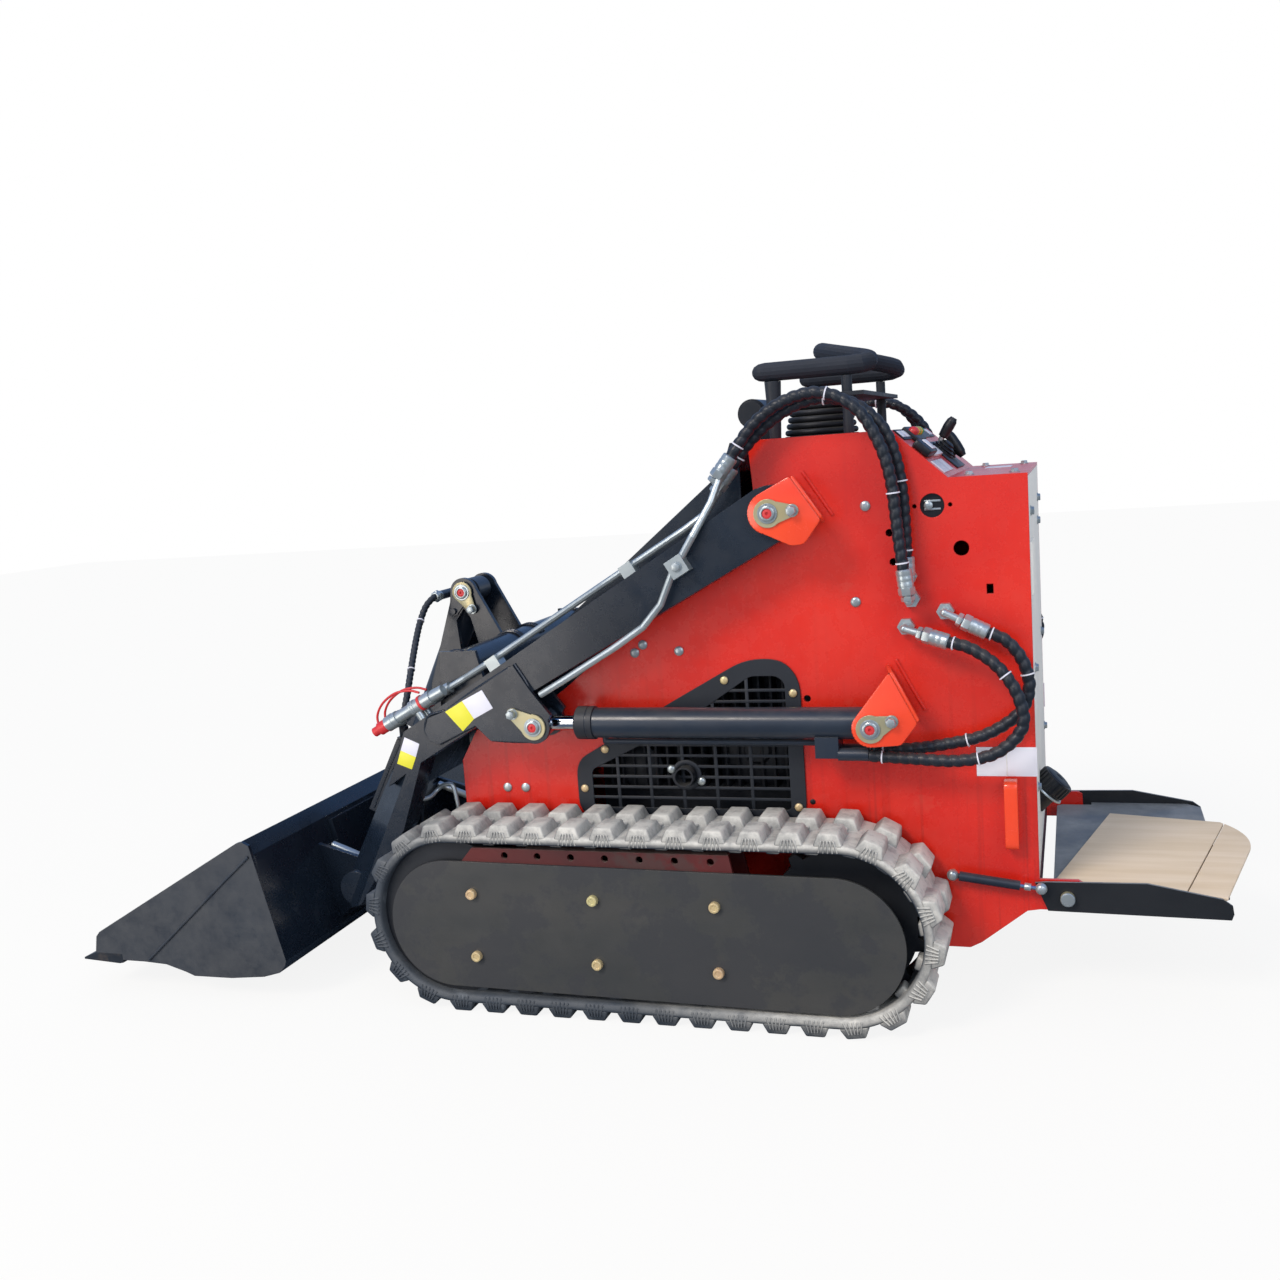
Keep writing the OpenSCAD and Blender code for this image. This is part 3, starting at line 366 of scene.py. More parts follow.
# flat plate with its outline in its own plane, in millimetres, and softened edges
def sheet(outline, thick, soft=0.8):
    part = bmesh.new()
    face = part.faces.new([part.verts.new((u / 1000, v / 1000, 0)) for u, v in outline])
    made = bmesh.ops.extrude_face_region(part, geom=[face])["geom"]
    grown = [v for v in made if isinstance(v, bmesh.types.BMVert)]
    bmesh.ops.translate(part, verts=grown, vec=(0, 0, thick / 1000))
    bmesh.ops.recalc_face_normals(part, faces=part.faces[:])
    bmesh.ops.bevel(part, geom=part.edges[:], affect="EDGES", offset=soft / 1000, segments=2, profile=0.5, material=-1)
    return part


def block(size, soft=1.5):
    part = bmesh.new()
    bmesh.ops.create_cube(part, size=1)
    bmesh.ops.scale(part, verts=part.verts[:], vec=[v / 1000 for v in size])
    bmesh.ops.bevel(part, geom=part.edges[:], affect="EDGES", offset=soft / 1000, segments=2, profile=0.5, material=-1)
    return part


# hexagon head on a washer, or a round head
def bolt(across, tall, washer=0.0):
    part = bmesh.new()
    bmesh.ops.create_cone(part, cap_ends=True, segments=6, radius1=across / 1732, radius2=across / 1732, depth=tall / 1000)
    bmesh.ops.translate(part, verts=part.verts[:], vec=(0, 0, tall / 2000 + 0.001))
    rim = [e for e in part.edges if all(v.co.z > tall / 2000 for v in e.verts)]
    bmesh.ops.bevel(part, geom=rim, affect="EDGES", offset=across / 9000, segments=2, profile=0.5, material=-1)
    if washer:
        join(part, turned([(0, 0), (washer / 2, 0), (washer / 2, 1.6), (washer / 2 - 0.6, 2.2), (0, 2.2)], 16), Matrix())
    return part


# an outline with its corners rounded off
def rounded(outline, radius, steps=5):
    smooth = []
    for i, corner in enumerate(outline):
        p, a, b = [Vector(q) for q in (corner, outline[i - 1], outline[(i + 1) % len(outline)])]
        start = p + (a - p).normalized() * min(radius, (a - p).length * 0.45)
        end = p + (b - p).normalized() * min(radius, (b - p).length * 0.45)
        for t in [k / steps for k in range(steps + 1)]:
            smooth.append(tuple(start * (1 - t) ** 2 + p * 2 * t * (1 - t) + end * t * t))
    return smooth


def button(wide, tall):
    r = wide / 2
    return turned([(0, 0), (r, 0), (r, tall * 0.5), (r * 0.8, tall * 0.85), (r * 0.4, tall), (0, tall)], 14)


# points on a smooth curve through a route
def curved(points, step):
    ends = [2 * points[0] - points[1]] + list(points) + [2 * points[-1] - points[-2]]
    route = []
    for a, b, c, d in zip(ends, ends[1:], ends[2:], ends[3:]):
        count = max(2, round((c - b).length * 1000 / step))
        for t in [i / count for i in range(count)]:
            route.append(0.5 * (2 * b + (c - a) * t + (2 * a - 5 * b + 4 * c - d) * t * t + (3 * b - a - 3 * c + d) * t ** 3))
    return route + [points[-1]]


# tube along a route; swell gives the radius in millimetres from the length so far and the angle
def tube(route, swell, sides=14):
    part = bmesh.new()
    last = len(route) - 1
    bmesh.ops.create_grid(part, x_segments=sides, y_segments=last, size=1)
    heading = [(route[min(i + 1, last)] - route[max(i - 1, 0)]).normalized() for i in range(last + 1)]
    side = heading[0].orthogonal().normalized()
    frames, run = [], 0.0
    for i, ahead in enumerate(heading):
        if i:
            side = heading[i - 1].rotation_difference(ahead) @ side
            run += (route[i] - route[i - 1]).length * 1000
        frames.append((side, ahead.cross(side), run))
    for v in part.verts:
        i = round((v.co.y + 1) / 2 * last)
        angle = 2 * math.pi * round((v.co.x + 1) / 2 * sides) / sides
        u, w, length = frames[i]
        v.co = route[i] + (u * math.cos(angle) + w * math.sin(angle)) * swell(length, angle) / 1000
    bmesh.ops.remove_doubles(part, verts=part.verts[:], dist=1e-6)
    bmesh.ops.holes_fill(part, edges=[e for e in part.edges if e.is_boundary], sides=0)
    return part


def piece(name, bm, finish, body, twoSides=True, sharpFrom=40):
    if twoSides:
        bmesh.ops.mirror(bm, geom=bm.verts[:] + bm.edges[:] + bm.faces[:], axis="Y", merge_dist=-1)
    bmesh.ops.recalc_face_normals(bm, faces=bm.faces[:])
    for face in bm.faces:
        face.smooth = True
    for edge in bm.edges:
        edge.smooth = edge.calc_face_angle(0) < math.radians(sharpFrom)
    mesh = bpy.data.meshes.new(name)
    bm.to_mesh(mesh)
    bm.free()
    mesh.materials.append(looks[finish])
    item = bpy.data.objects.new(name, mesh)
    bpy.context.collection.objects.link(item)
    if body:
        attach(item, body)
    return item


# hoses in their spiral guard, by the routes of the part's source, across from the middle of the arm
armMiddle = 369
wrap = {"pitch": 19, "groove": 2.6, "step": 2.6}
routes = {
    "loopHoses": {
        "node": "loop_hoses", "bodies": ("chassis", "lift_barrels"), "from": (-600, 0, 722), "to": (-440, 0, 509), "wide": 22,
        "lines": [
            [(-582, -7, 715), (-628, 0, 701), (-674, 10, 668), (-706, 17, 618), (-712, 19, 562),
             (-668, 19, 516), (-600, 18, 500), (-520, 17, 503), (-440, 16, 508)],
            [(-650, -25, 729), (-688, -24, 710), (-715, -23, 672), (-724, -21, 624), (-704, -20, 578),
             (-646, -19, 540), (-575, -19, 522), (-508, -19, 513), (-440, -19, 510)],
        ]},
    "armHoses": {
        "node": "arm_hoses", "bodies": ("chassis", "arms"), "from": (-515, 0, 850), "to": (-204, 0, 1058), "wide": 22,
        "lines": [
            [(-514, -5, 842), (-508, -5, 895), (-503, -5, 955), (-497, -5, 1015), (-480, -5, 1076),
             (-444, -5, 1138), (-384, -5, 1173), (-318, -4, 1166), (-256, -1, 1129), (-206, 7, 1066)],
            [(-516, -34, 862), (-516, -34, 915), (-514, -34, 980), (-505, -34, 1046), (-482, -34, 1106),
             (-430, -33, 1152), (-362, -31, 1164), (-296, -29, 1140), (-240, -26, 1096), (-200, -22, 1046)],
        ]},
    "tiltHoses": {
        "node": "tilt_hoses", "bodies": ("arms", "tilt_barrel"), "from": (556, 0, 552), "to": (579, 0, 799), "wide": 14,
        "lines": [
            [(579, 66.5 - 369, 799), (580, 86 - 369, 798), (589, 110 - 369, 781), (592, 138 - 369, 750), (585, 180 - 369, 712),
             (573, 232 - 369, 664), (561, 282 - 369, 616), (556, 318 - 369, 572), (556, 322 - 369, 552)],
        ]},
}
for name, way in routes.items():
    guard, ties = bmesh.new(), bmesh.new()
    for line in way["lines"]:
        route = curved([at(x, y + armMiddle, z) for x, y, z in line], wrap["step"])
        r, pitch, groove = way["wide"] / 2 + 0.6, wrap["pitch"] * way["wide"] / 22, wrap["groove"] * way["wide"] / 22

        def coil(length, angle):
            return r - groove * (1 - abs(math.sin((angle - 2 * math.pi * length / pitch) / 2)) ** 0.6)

        join(guard, tube(route, coil, 16), Matrix())
        for share in (0.03, 0.24, 0.62, 0.95):
            i = min(max(1, round(share * len(route))), len(route) - 2)
            ring = turned([(r - 1.5, -1.5), (r + 1.2, -1.2), (r + 1.2, 1.2), (r - 1.5, 1.5), (r - 1.5, -1.5)], 18)
            join(ties, ring, facing(route[i], route[i + 1] - route[i - 1]))
    if name == "tiltHoses":
        join(guard, turned([(0, 0), (9, 0), (10, 1), (10, 20), (9, 22), (0, 22)], 16), facing(at(556, 322, 530.3), (0, 0, 1)))
    hoses = piece(name, guard, "hoseGuard", None, sharpFrom=70)
    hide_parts(way["node"])
    clips = piece(name + "Ties", ties, "whiteFilm", None)
    for item in (hoses, clips):
        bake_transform(item)
print("hoses wrapped")

# tracks: belt with rounded rims, two rows of lugs, thin ribs under the outer row, teeth inside
track = {"x": 7, "half": 387.25, "r": 195, "lug": 20, "belt": 18, "pitch": 72, "links": 36, "in": 320, "out": 500}
pitchR = track["r"] - track["lug"] - track["belt"] / 2
track["half"] = (track["links"] * track["pitch"] - 2 * math.pi * pitchR) / 4


# matrix at a distance along the track, local x along the belt and z outward
def onTrack(run):
    half = track["half"]
    turnLength = math.pi * pitchR
    run %= track["links"] * track["pitch"]
    if run < 2 * half:
        centre, angle = (run - half, 0), 180
    elif run < 2 * half + turnLength:
        centre, angle = (half, 0), 180 - (run - 2 * half) / turnLength * 180
    elif run < 4 * half + turnLength:
        centre, angle = (3 * half + turnLength - run, 0), 0
    else:
        centre, angle = (-half, 0), -(run - 4 * half - turnLength) / turnLength * 180
    place = at(track["x"] + centre[0], 0, track["r"])
    return Matrix.Translation(place) @ Matrix.Rotation(math.radians(angle), 4, "Y")


def lug(width, ramp):
    part = bmesh.new()
    bmesh.ops.create_cube(part, size=1)
    bmesh.ops.scale(part, verts=part.verts[:], vec=(0.054, width / 1000, (track["lug"] + 3) / 1000))
    for v in part.verts:
        if v.co.z > 0:
            v.co.x *= 0.66
            v.co.y *= 1 - ramp / width
    bmesh.ops.bevel(part, geom=part.edges[:], affect="EDGES", offset=0.0035, segments=2, profile=0.5, material=-1)
    return part


treads = bmesh.new()
beltTop, beltIn = track["r"] - track["lug"], track["r"] - track["lug"] - track["belt"]
section = [(0, beltIn), (0, beltTop - 5), (3, beltTop - 1), (8, beltTop), (90, beltTop + 0.6), (172, beltTop), (177, beltTop - 1),
           (180, beltTop - 5), (180, beltIn + 9), (178, beltIn + 4), (176, beltIn + 1.5), (170, beltIn)]
steps = track["links"] * 6
belt = bmesh.new()
bmesh.ops.create_grid(belt, x_segments=len(section), y_segments=steps, size=1)
for v in belt.verts:
    y, r = section[round((v.co.x + 1) / 2 * len(section)) % len(section)]
    run = (v.co.y + 1) / 2 * track["links"] * track["pitch"]
    v.co = onTrack(run) @ Vector((0, (track["in"] + y) / 1000, r / 1000))
bmesh.ops.remove_doubles(belt, verts=belt.verts[:], dist=1e-5)
join(treads, belt, Matrix())
rows = [{"y": 458.5, "wide": 83, "shift": 0.67, "ribs": True}, {"y": 361.5, "wide": 83, "shift": 0.86, "ribs": False}]
for row in rows:
    for i in range(track["links"]):
        run = (i + row["shift"]) * track["pitch"]
        here = onTrack(run)
        join(treads, lug(row["wide"], 14), here @ Matrix.Translation((0, row["y"] / 1000, (beltTop + track["lug"] / 2 - 1.5) / 1000)))
        # bar that joins this lug's foot to the other row
        join(treads, block((16, 120, 9), 2.5), here @ Matrix.Translation((0, 0.41, (beltTop + 2) / 1000)))
        if row["ribs"]:
            for k in (-2, -1, 0, 1, 2):
                rib = block((3.4, 6.6, 24), 1.2)
                lean = Matrix.Rotation(math.radians(-8 * k), 4, "Y")
                join(treads, rib, here @ Matrix.Translation((0.007 * k, 0.4975, (beltTop - 3) / 1000)) @ lean)
for i in range(track["links"]):
    join(treads, block((26, 34, 14), 4), onTrack((i + 0.17) * track["pitch"]) @ Matrix.Translation((0, 0.455, (beltIn - 4) / 1000)))
rubber = piece("rubberTracks", treads, "trackRubber", "chassis", sharpFrom=50)
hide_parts("track_left", "track_right")
print("tracks moulded")

# puts a small part at a place on the machine, its own z along the given axis
def put(bm, part, place, axis=(0, 1, 0), spin=0.0):
    join(bm, part, facing(at(*place), axis, spin))


# an outline in the side view, standing out from a distance across the machine
def onSide(y):
    return Matrix(((1, 0, 0, -0.084686), (0, 0, 1, y / 1000), (0, 1, 0, 0), (0, 0, 0, 1)))


# bolts and screws on the side plates and grilles
sideBolts = {
    "hexagons": [(-442, 963), (-416, 785), (-64, 699), (10, 713), (28, 697), (331, 418), (290, 418)],
    "plugs": [(-314, 397)],
    "rounds": [(-153, 640), (-288, 613), (106, 501), (156, 419), (-287, 387)],
    "outlet": [(-33, 461), (-94, 437)],
}
heads, rounds, covers, plugs = [bmesh.new() for _ in range(4)]
for x, z in sideBolts["hexagons"]:
    put(heads, button(19, 5), (x, 310, z))
for x, z in sideBolts["plugs"]:
    put(plugs, button(11, 1.2), (x, 310, z))
for x, z in sideBolts["rounds"]:
    put(rounds, button(16, 5), (x, 314, z))
for x, z in sideBolts["outlet"]:
    put(heads, button(17, 6), (x, 314, z))
for x, z in [(-155, 178.5), (88, 180.9), (345, 183.5)]:
    for k in (-64.6, 64.6):
        put(covers, turned([(0, 0), (10.2, 0), (10.2, 2.4), (9.2, 3.4), (6.4, 3.6), (5, 2), (0, 2)], 20), (x, 497, z + k))
piece("sideBolts", heads, "zincPlate", "chassis")
piece("grilleBolts", rounds, "copperZinc", "chassis")
piece("coverBoltHeads", covers, "copperZinc", "chassis")
piece("sidePlugs", plugs, "mouldedBlack", "chassis")

# washers, pin ends and bolts on the pear-shaped keepers
keepers = [
    {"body": "chassis", "node": "pivot_pins", "pins": [((-283, 424, 965), (-328, 430, 968)), ((-449, 424, 566), (-488, 430, 580))]},
    {"body": "arms", "node": "arm_pins", "pins": [((216, 416, 569), (258, 422, 596)), ((518, 67, 805), (496, 73, 766))]},
]
for keeper in keepers:
    rings, ends, heads = bmesh.new(), bmesh.new(), bmesh.new()
    for pin, screw in keeper["pins"]:
        put(rings, turned([(9, 0), (18.5, 0), (18.5, 1.8), (17.8, 2.4), (14.5, 2.4), (14, 6), (12.6, 7), (9.5, 7), (9, 5), (9, 0)], 28), pin)
        put(ends, turned([(0, 0), (9.2, 0), (9.2, 4.4), (8.4, 5), (3.4, 5), (2.8, 4.4), (2.4, 1.6), (0, 1.6)], 28), pin)
        put(heads, bolt(16, 7), screw, spin=11)
        put(heads, turned([(7, 0), (11.5, 0), (11.5, 0.9), (11, 1.4), (7, 1.4), (7, 0)], 20), (screw[0], screw[1] - 6, screw[2]))
    piece(keeper["node"] + "Washers", rings, "zincPlate", keeper["body"])
    piece(keeper["node"] + "Ends", ends, "redVinyl", keeper["body"])
    piece(keeper["node"] + "Bolts", heads, "zincPlate", keeper["body"])
bm = bmesh.new()
pear = [(518 + 24 * math.cos(math.radians(t)), 805 + 24 * math.sin(math.radians(t))) for t in range(-28, 212, 15)]
pear += [(496 + 11 * math.cos(math.radians(t)), 766 + 11 * math.sin(math.radians(t))) for t in range(205, 345, 15)]
join(bm, sheet(pear, 3, 0.8), onSide(64.1))
piece("towerKeepers", bm, "yellowZinc", "arms")
print("bolts and keepers set")

# bare plates and stickers
signs = {
    "plate": [(-733, 452), (-625, 452), (-625, 507), (-733, 507)],
    "onArm": [(321, 645), (300, 608), (371, 561), (407, 601)], "split": [(367, 623), (344, 586)],
    "thick": 0.7,
}
white, yellow = bmesh.new(), bmesh.new()
join(white, sheet(signs["plate"], signs["thick"], 0.2), onSide(310.2))
join(yellow, sheet([(-680, 453), (-678.6, 453), (-678.6, 506), (-680, 506)], signs["thick"], 0.2), onSide(310.5))
piece("signPlate", white, "whiteFilm", "chassis")
piece("signLine", yellow, "greyPrimer", "chassis")
yellow = bmesh.new()
white = bmesh.new()
join(white, sheet([signs["onArm"][0], signs["onArm"][1], signs["split"][1], signs["split"][0]], signs["thick"], 0.2), onSide(412.1))
join(yellow, sheet([signs["split"][0], signs["split"][1], signs["onArm"][2], signs["onArm"][3]], signs["thick"], 0.2), onSide(412.1))
join(white, sheet([(511, 546), (478, 532), (489, 504), (523, 518)], signs["thick"], 0.2), onSide(402.1))
join(yellow, sheet([(523, 518), (489, 504), (501, 478), (534, 490)], signs["thick"], 0.2), onSide(402.1))
piece("stickersWhite", white, "whiteFilm", "arms")
piece("stickersYellow", yellow, "yellowFilm", "arms")

# control panel on the slope: raised lip, lamps, bare strips and boots of the levers
slope = {"from": (-494, 1098), "to": (-593, 1006)}
down = Vector((slope["to"][0] - slope["from"][0], 0, slope["to"][1] - slope["from"][1])).normalized()
out = Vector((0, 1, 0)).cross(down)
panelPlace = Matrix((Vector((0, 1, 0)), down, out)).transposed().to_4x4()
panelPlace.translation = at(slope["from"][0], 0, slope["from"][1])


# a low plate on the slope by its reach across and down the slope, in millimetres
def onSlope(bm, across, along, tall, soft=0.6):
    middle = ((across[0] + across[1]) / 2000, (along[0] + along[1]) / 2000, tall / 2000)
    part = block((across[1] - across[0], along[1] - along[0], tall), soft)
    join(bm, part, panelPlace @ Matrix.Translation(middle))


white, black, red, amber, green = [bmesh.new() for _ in range(5)]
onSlope(black, (-255, 290), (2, 30), 2.4)
onSlope(black, (-150, 20), (46, 126), 3.2, 1.2)
for left, right in [(86, 150), (158, 215), (222, 280), (-240, -190)]:
    onSlope(white, (left, right), (7, 24), 3.2, 0.3)
for left, right in [(100, 165), (172, 235), (242, 285)]:
    onSlope(white, (left, right), (92, 124), 1.4, 0.3)
onSlope(white, (30, 160), (60, 84), 7, 1.5)
onSlope(black, (170, 290), (46, 82), 16, 4)
onSlope(white, (186, 236), (50, 76), 18, 2)
onSlope(black, (26, 170), (2, 40), 9, 2)
for lamps, across in [(red, 152), (red, 132), (amber, 110), (green, 90), (amber, 68), (green, 46)]:
    join(lamps, turned([(0, 0), (9, 0), (9, 5), (7, 9), (3, 11), (0, 11)], 16), panelPlace @ Matrix.Translation((across / 1000, 0.02, 0.0088)))
for y in (-40, -110):
    boot = [(0, 0), (26, 0), (26, 3), (22, 5), (24, 8), (17, 11), (19, 14), (12, 17), (13, 20), (8, 23), (0, 23)]
    join(black, turned(boot, 24), panelPlace @ Matrix.Translation((y / 1000, 0.0765, 0.003)))
for finish, mesh in [("whiteFilm", white), ("mouldedBlack", black), ("redVinyl", red), ("amberLens", amber), ("greenLens", green)]:
    piece("panel" + finish[0].upper() + finish[1:], mesh, finish, "chassis", twoSides=False)
bm = bmesh.new()
put(bm, block((52, 98, 0.8), 0.2), (-660, -114, 1006.5), (0, 0, 1))
piece("deckSticker", bm, "whiteFilm", "chassis", twoSides=False)
bm = bmesh.new()
for y in (-100, 100):
    put(bm, bolt(13, 6, 19), (-625, y * 2.4, 1006), (0, 0, 1))
    put(bm, bolt(13, 6, 19), (-706, y * 2.4, 1006), (0, 0, 1))
for y, z in [(-227, 933), (-178, 887), (227, 933), (-227, 640), (227, 640), (-262, 420), (262, 420)]:
    put(bm, bolt(13, 6, 19), (-731, y, z), (-1, 0, 0), 9)
piece("panelBolts", bm, "zincPlate", "chassis", twoSides=False)

# louvres pressed in the rear panel, seen as narrow standing ribs
bm = bmesh.new()
for i in range(9):
    rib = turned([(0, 0), (4, 2), (4.6, 8), (4.6, 92), (4, 98), (0, 100)], 10)
    put(bm, rib, (-730.5, 262 - 13 * i, 780), (0, 0, 1))
piece("rearLouvres", bm, "greyPrimer", "chassis", twoSides=False)
print("signs and panel set")

# ribs and ring of the filler cap, which leans back at 45 degrees
cap = {"at": (-731, 120, 364), "axis": (-1, 0, 1), "r": 32, "ribs": 22}
capPlace = facing(at(*cap["at"]), cap["axis"])
ribs, ring = bmesh.new(), bmesh.new()
for i in range(cap["ribs"]):
    turn = Matrix.Rotation(2 * math.pi * i / cap["ribs"], 4, "Z")
    join(ribs, block((4, 4.4, 26), 1.2), capPlace @ turn @ Matrix.Translation(((cap["r"] + 0.4) / 1000, 0, 0.035)))
join(ribs, turned([(0, 49.5), (27, 49.5), (27, 51), (22, 53), (8, 53), (7, 51.5), (0, 51.5)], 32), capPlace)
join(ring, turned([(24, 14), (36, 14), (37, 15.5), (36, 18), (24, 18), (24, 14)], 36), capPlace)
piece("capRibs", ribs, "mouldedBlack", "chassis", twoSides=False)
piece("capRing", ring, "zincPlate", "chassis", twoSides=False)

# pivot bolts and ball joints of the platform
bm = bmesh.new()
put(bm, turned([(0, 0), (12, 0), (13, 1), (13, 4), (11.6, 5.4), (0, 5.4)], 28), (-780, 327, 225))
ball = [(0, -9), (6.5, -8), (10, -4.5), (11, 0), (10, 4.5), (6.5, 8), (0, 9)]
put(bm, turned(ball, 20), (-576, 331, 266))
put(bm, turned([(0, 0), (7, 0), (7, 8), (5.5, 9), (5.5, 22), (0, 22)], 16), (-590, 331, 264.2), (-158, 0, -21))
piece("pivotBolts", bm, "zincPlate", "chassis")
bm = bmesh.new()
put(bm, turned(ball, 20), (-734, 331, 245))
put(bm, turned([(0, 0), (7, 0), (7, 10), (6, 12), (0, 12)], 16), (-716, 331, 247.4), (158, 0, 21))
piece("lowerBalls", bm, "zincPlate", "spring_rods")

# collars on the cylinders: a turned gland with a groove round it and a wiper ring
lift = {"from": (-449, 369, 566), "to": (216, 369, 569), "tube": 30, "rod": 15.3, "gland": (548, 590)}
tilt = {"from": (518, 0, 805), "to": (752, 0, 330), "tube": 31, "rod": 16.3, "gland": (392, 426)}
for name, item, body, node in [("liftGlands", lift, "lift_barrels", "lift_barrels"), ("tiltGland", tilt, "tilt_barrel", "tilt_barrel")]:
    along = Vector(item["to"]) - Vector(item["from"])
    place = facing(at(*item["from"]), along)
    low, high = item["gland"]
    r = item["tube"]
    bm = bmesh.new()
    collar = [(r - 1, low), (r + 3, low + 1), (r + 3, low + 12), (r + 1.6, low + 13.5), (r + 3, low + 15), (r + 3, high - 6), (r - 1, high - 3)]
    collar += [(item["rod"] + 6, high - 2), (item["rod"] + 5, high), (item["rod"] + 0.6, high), (item["rod"] + 0.6, high - 6), (r - 1, low)]
    join(bm, turned(collar, 36), place)
    piece(name, bm, "dullBlackEnamel", body, twoSides=name == "liftGlands")

# hexagon nuts and crimp rings on the ends of the hoses
ends = [
    {"body": "chassis", "node": "hose_fittings", "lines": [
        ((-582, 362, 715), (-628, 369, 701)), ((-650, 344, 729), (-688, 345, 710)),
        ((-514, 364, 842), (-508, 364, 895)), ((-516, 335, 862), (-516, 335, 915))]},
    {"body": "arms", "node": "arm_pipes", "lines": [
        ((-206, 376, 1066), (-256, 368, 1129)), ((-200, 347, 1046), (-240, 343, 1096))]},
]
for end in ends:
    bm = bmesh.new()
    for a, b in end["lines"]:
        way = facing(at(*a), Vector(a) - Vector(b))
        join(bm, turned([(11, -6), (13, -6), (14.8, -4), (14.8, 4), (14.2, 6), (14.8, 8), (14.8, 14), (14.2, 16), (14.8, 18), (14.8, 24), (11, 26), (11, -6)], 24), way)
        join(bm, bolt(27, 14), way @ Matrix.Translation((0, 0, 0.027)))
        join(bm, bolt(22, 9), way @ Matrix.Translation((0, 0, 0.043)))
    piece(end["node"] + "Nuts", bm, "zincPlate", end["body"])
print("cylinders and fittings set")

# straps of the dust caps
bm = bmesh.new()
for y in (354, 386):
    route = curved([at(*p) for p in [(584, y - 12, 560), (588, y - 16, 585), (570, y - 12, 612), (535, y - 4, 634), (500, y - 2, 640), (476, y, 636)]], 4)
    join(bm, tube(route, lambda length, angle: 2.6, 8), Matrix())
    join(bm, turned([(13, -3), (16.5, -3), (16.5, 3), (13, 3), (13, -3)], 20), facing(at(472, y, 615), (-50, 0, 27)))
piece("capStraps", bm, "redVinyl", "arms")

# clamp bolts on the arm and the collars of the couplers
bm = bmesh.new()
put(bm, bolt(15, 7, 20), (-106, 428, 876))
for y in (354, 386):
    line = Vector((-50, 0, 27))
    put(bm, turned([(12, 0), (16, 0.6), (16, 5), (14.5, 6), (16, 7), (16, 12), (12, 13), (12, 0)], 24), (496, y, 602), line)
    put(bm, turned([(12, 0), (16.6, 0.6), (16.6, 9), (12, 10), (12, 0)], 24), (548, y, 574.3), line)
piece("clampBolts", bm, "zincPlate", "arms")


# weld bead along a route, rippled every few millimetres
def bead(route, wide):
    return tube(curved(route, 2.2), lambda length, angle: wide * (0.46 + 0.07 * abs(math.sin(length * 0.9))), 7)


def welds(name, lines, wide, finish, body, twoSides=True):
    bm = bmesh.new()
    for line in lines:
        join(bm, bead([at(*p) for p in line], wide), Matrix())
    piece(name, bm, finish, body, twoSides)


def around(centre, r, y, start, stop, count=9):
    turns = [math.radians(start + (stop - start) * i / (count - 1)) for i in range(count)]
    return [(centre[0] + r * math.cos(t), y, centre[1] + r * math.sin(t)) for t in turns]


welds("armWelds", [
    around((412, 672), 40, 325, -150, 210, 25),
    around((412, 672), 40, 47, -120, 150, 19), around((412, 672), 40, 61, -120, 150, 19),
    [(216, 403, 603), (224, 403, 650), (250, 403, 695)], [(260, 403, 688), (330, 403, 650), (405, 403, 604)],
    [(452, 403, 545), (460, 403, 562), (450, 403, 590), (414, 403, 601)],
    [(345, 403, 572), (388, 403, 552), (429, 403, 533)], [(212, 403, 538), (262, 403, 538), (312, 403, 541)],
    [(555, 334, 528), (600, 334, 450), (640, 334, 375)],
], 7, "blackEnamel", "arms")
welds("bucketWelds", [
    [(776, 516, 86), (800, 516, 182), (828, 516, 320)], [(800, 516, 76), (912, 516, 60), (1010, 516, 66), (1070, 516, 80), (1180, 516, 84)],
    [(781, 297, 108), (800, 297, 190), (822, 297, 280)],
    [(834, 526, 320), (930, 526, 240), (1118, 526, 80)],
], 6, "scrapedEnamel", "bucket")
welds("bracketWelds", [
    [(-328, 311, 1034), (-354, 311, 993), (-381, 311, 950)], [(-486, 311, 675), (-511, 311, 625), (-536, 311, 578)],
], 7, "sprayedRedEnamel", "chassis")
print("welds laid")

# the board in two leaves with a fold between them, edges a little rounded
board = {"corner": (-758, 241), "turn": -13.4, "wide": 462, "long": 301, "thick": 6, "fold": -232, "gap": 1.2, "arc": (-75, -292), "r": 226}
boardPlace = Matrix.Translation(at(*board["corner"], 228)) @ Matrix.Rotation(math.radians(board["turn"]), 4, "Z")
rim = [(-board["long"], board["arc"][1])]
for i in range(1, 13):
    t = math.pi + math.asin((board["wide"] + board["arc"][1]) / board["r"]) * i / 12
    rim.append((board["arc"][0] + board["r"] * math.cos(t), board["arc"][1] + board["r"] * math.sin(t)))
rear = [p for p in rim if p[0] < board["fold"] - board["gap"]]
front = [p for p in rim if p[0] > board["fold"] + board["gap"]]
cut = board["arc"][1] - math.sqrt(board["r"] ** 2 - (board["fold"] - board["arc"][0]) ** 2)
bm = bmesh.new()
join(bm, sheet([(-board["long"], 0)] + rear + [(board["fold"] - board["gap"], cut), (board["fold"] - board["gap"], 0)], board["thick"], 1.0), boardPlace)
low = (board["fold"] + board["gap"], cut)
join(bm, sheet([(board["fold"] + board["gap"], 0), low] + front + [(0, -board["wide"]), (0, 0)], board["thick"], 1.0), boardPlace)
boards = piece("boardLeaves", bm, "plywood", "platform", twoSides=False)
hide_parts("platform_board")
print("board laid")

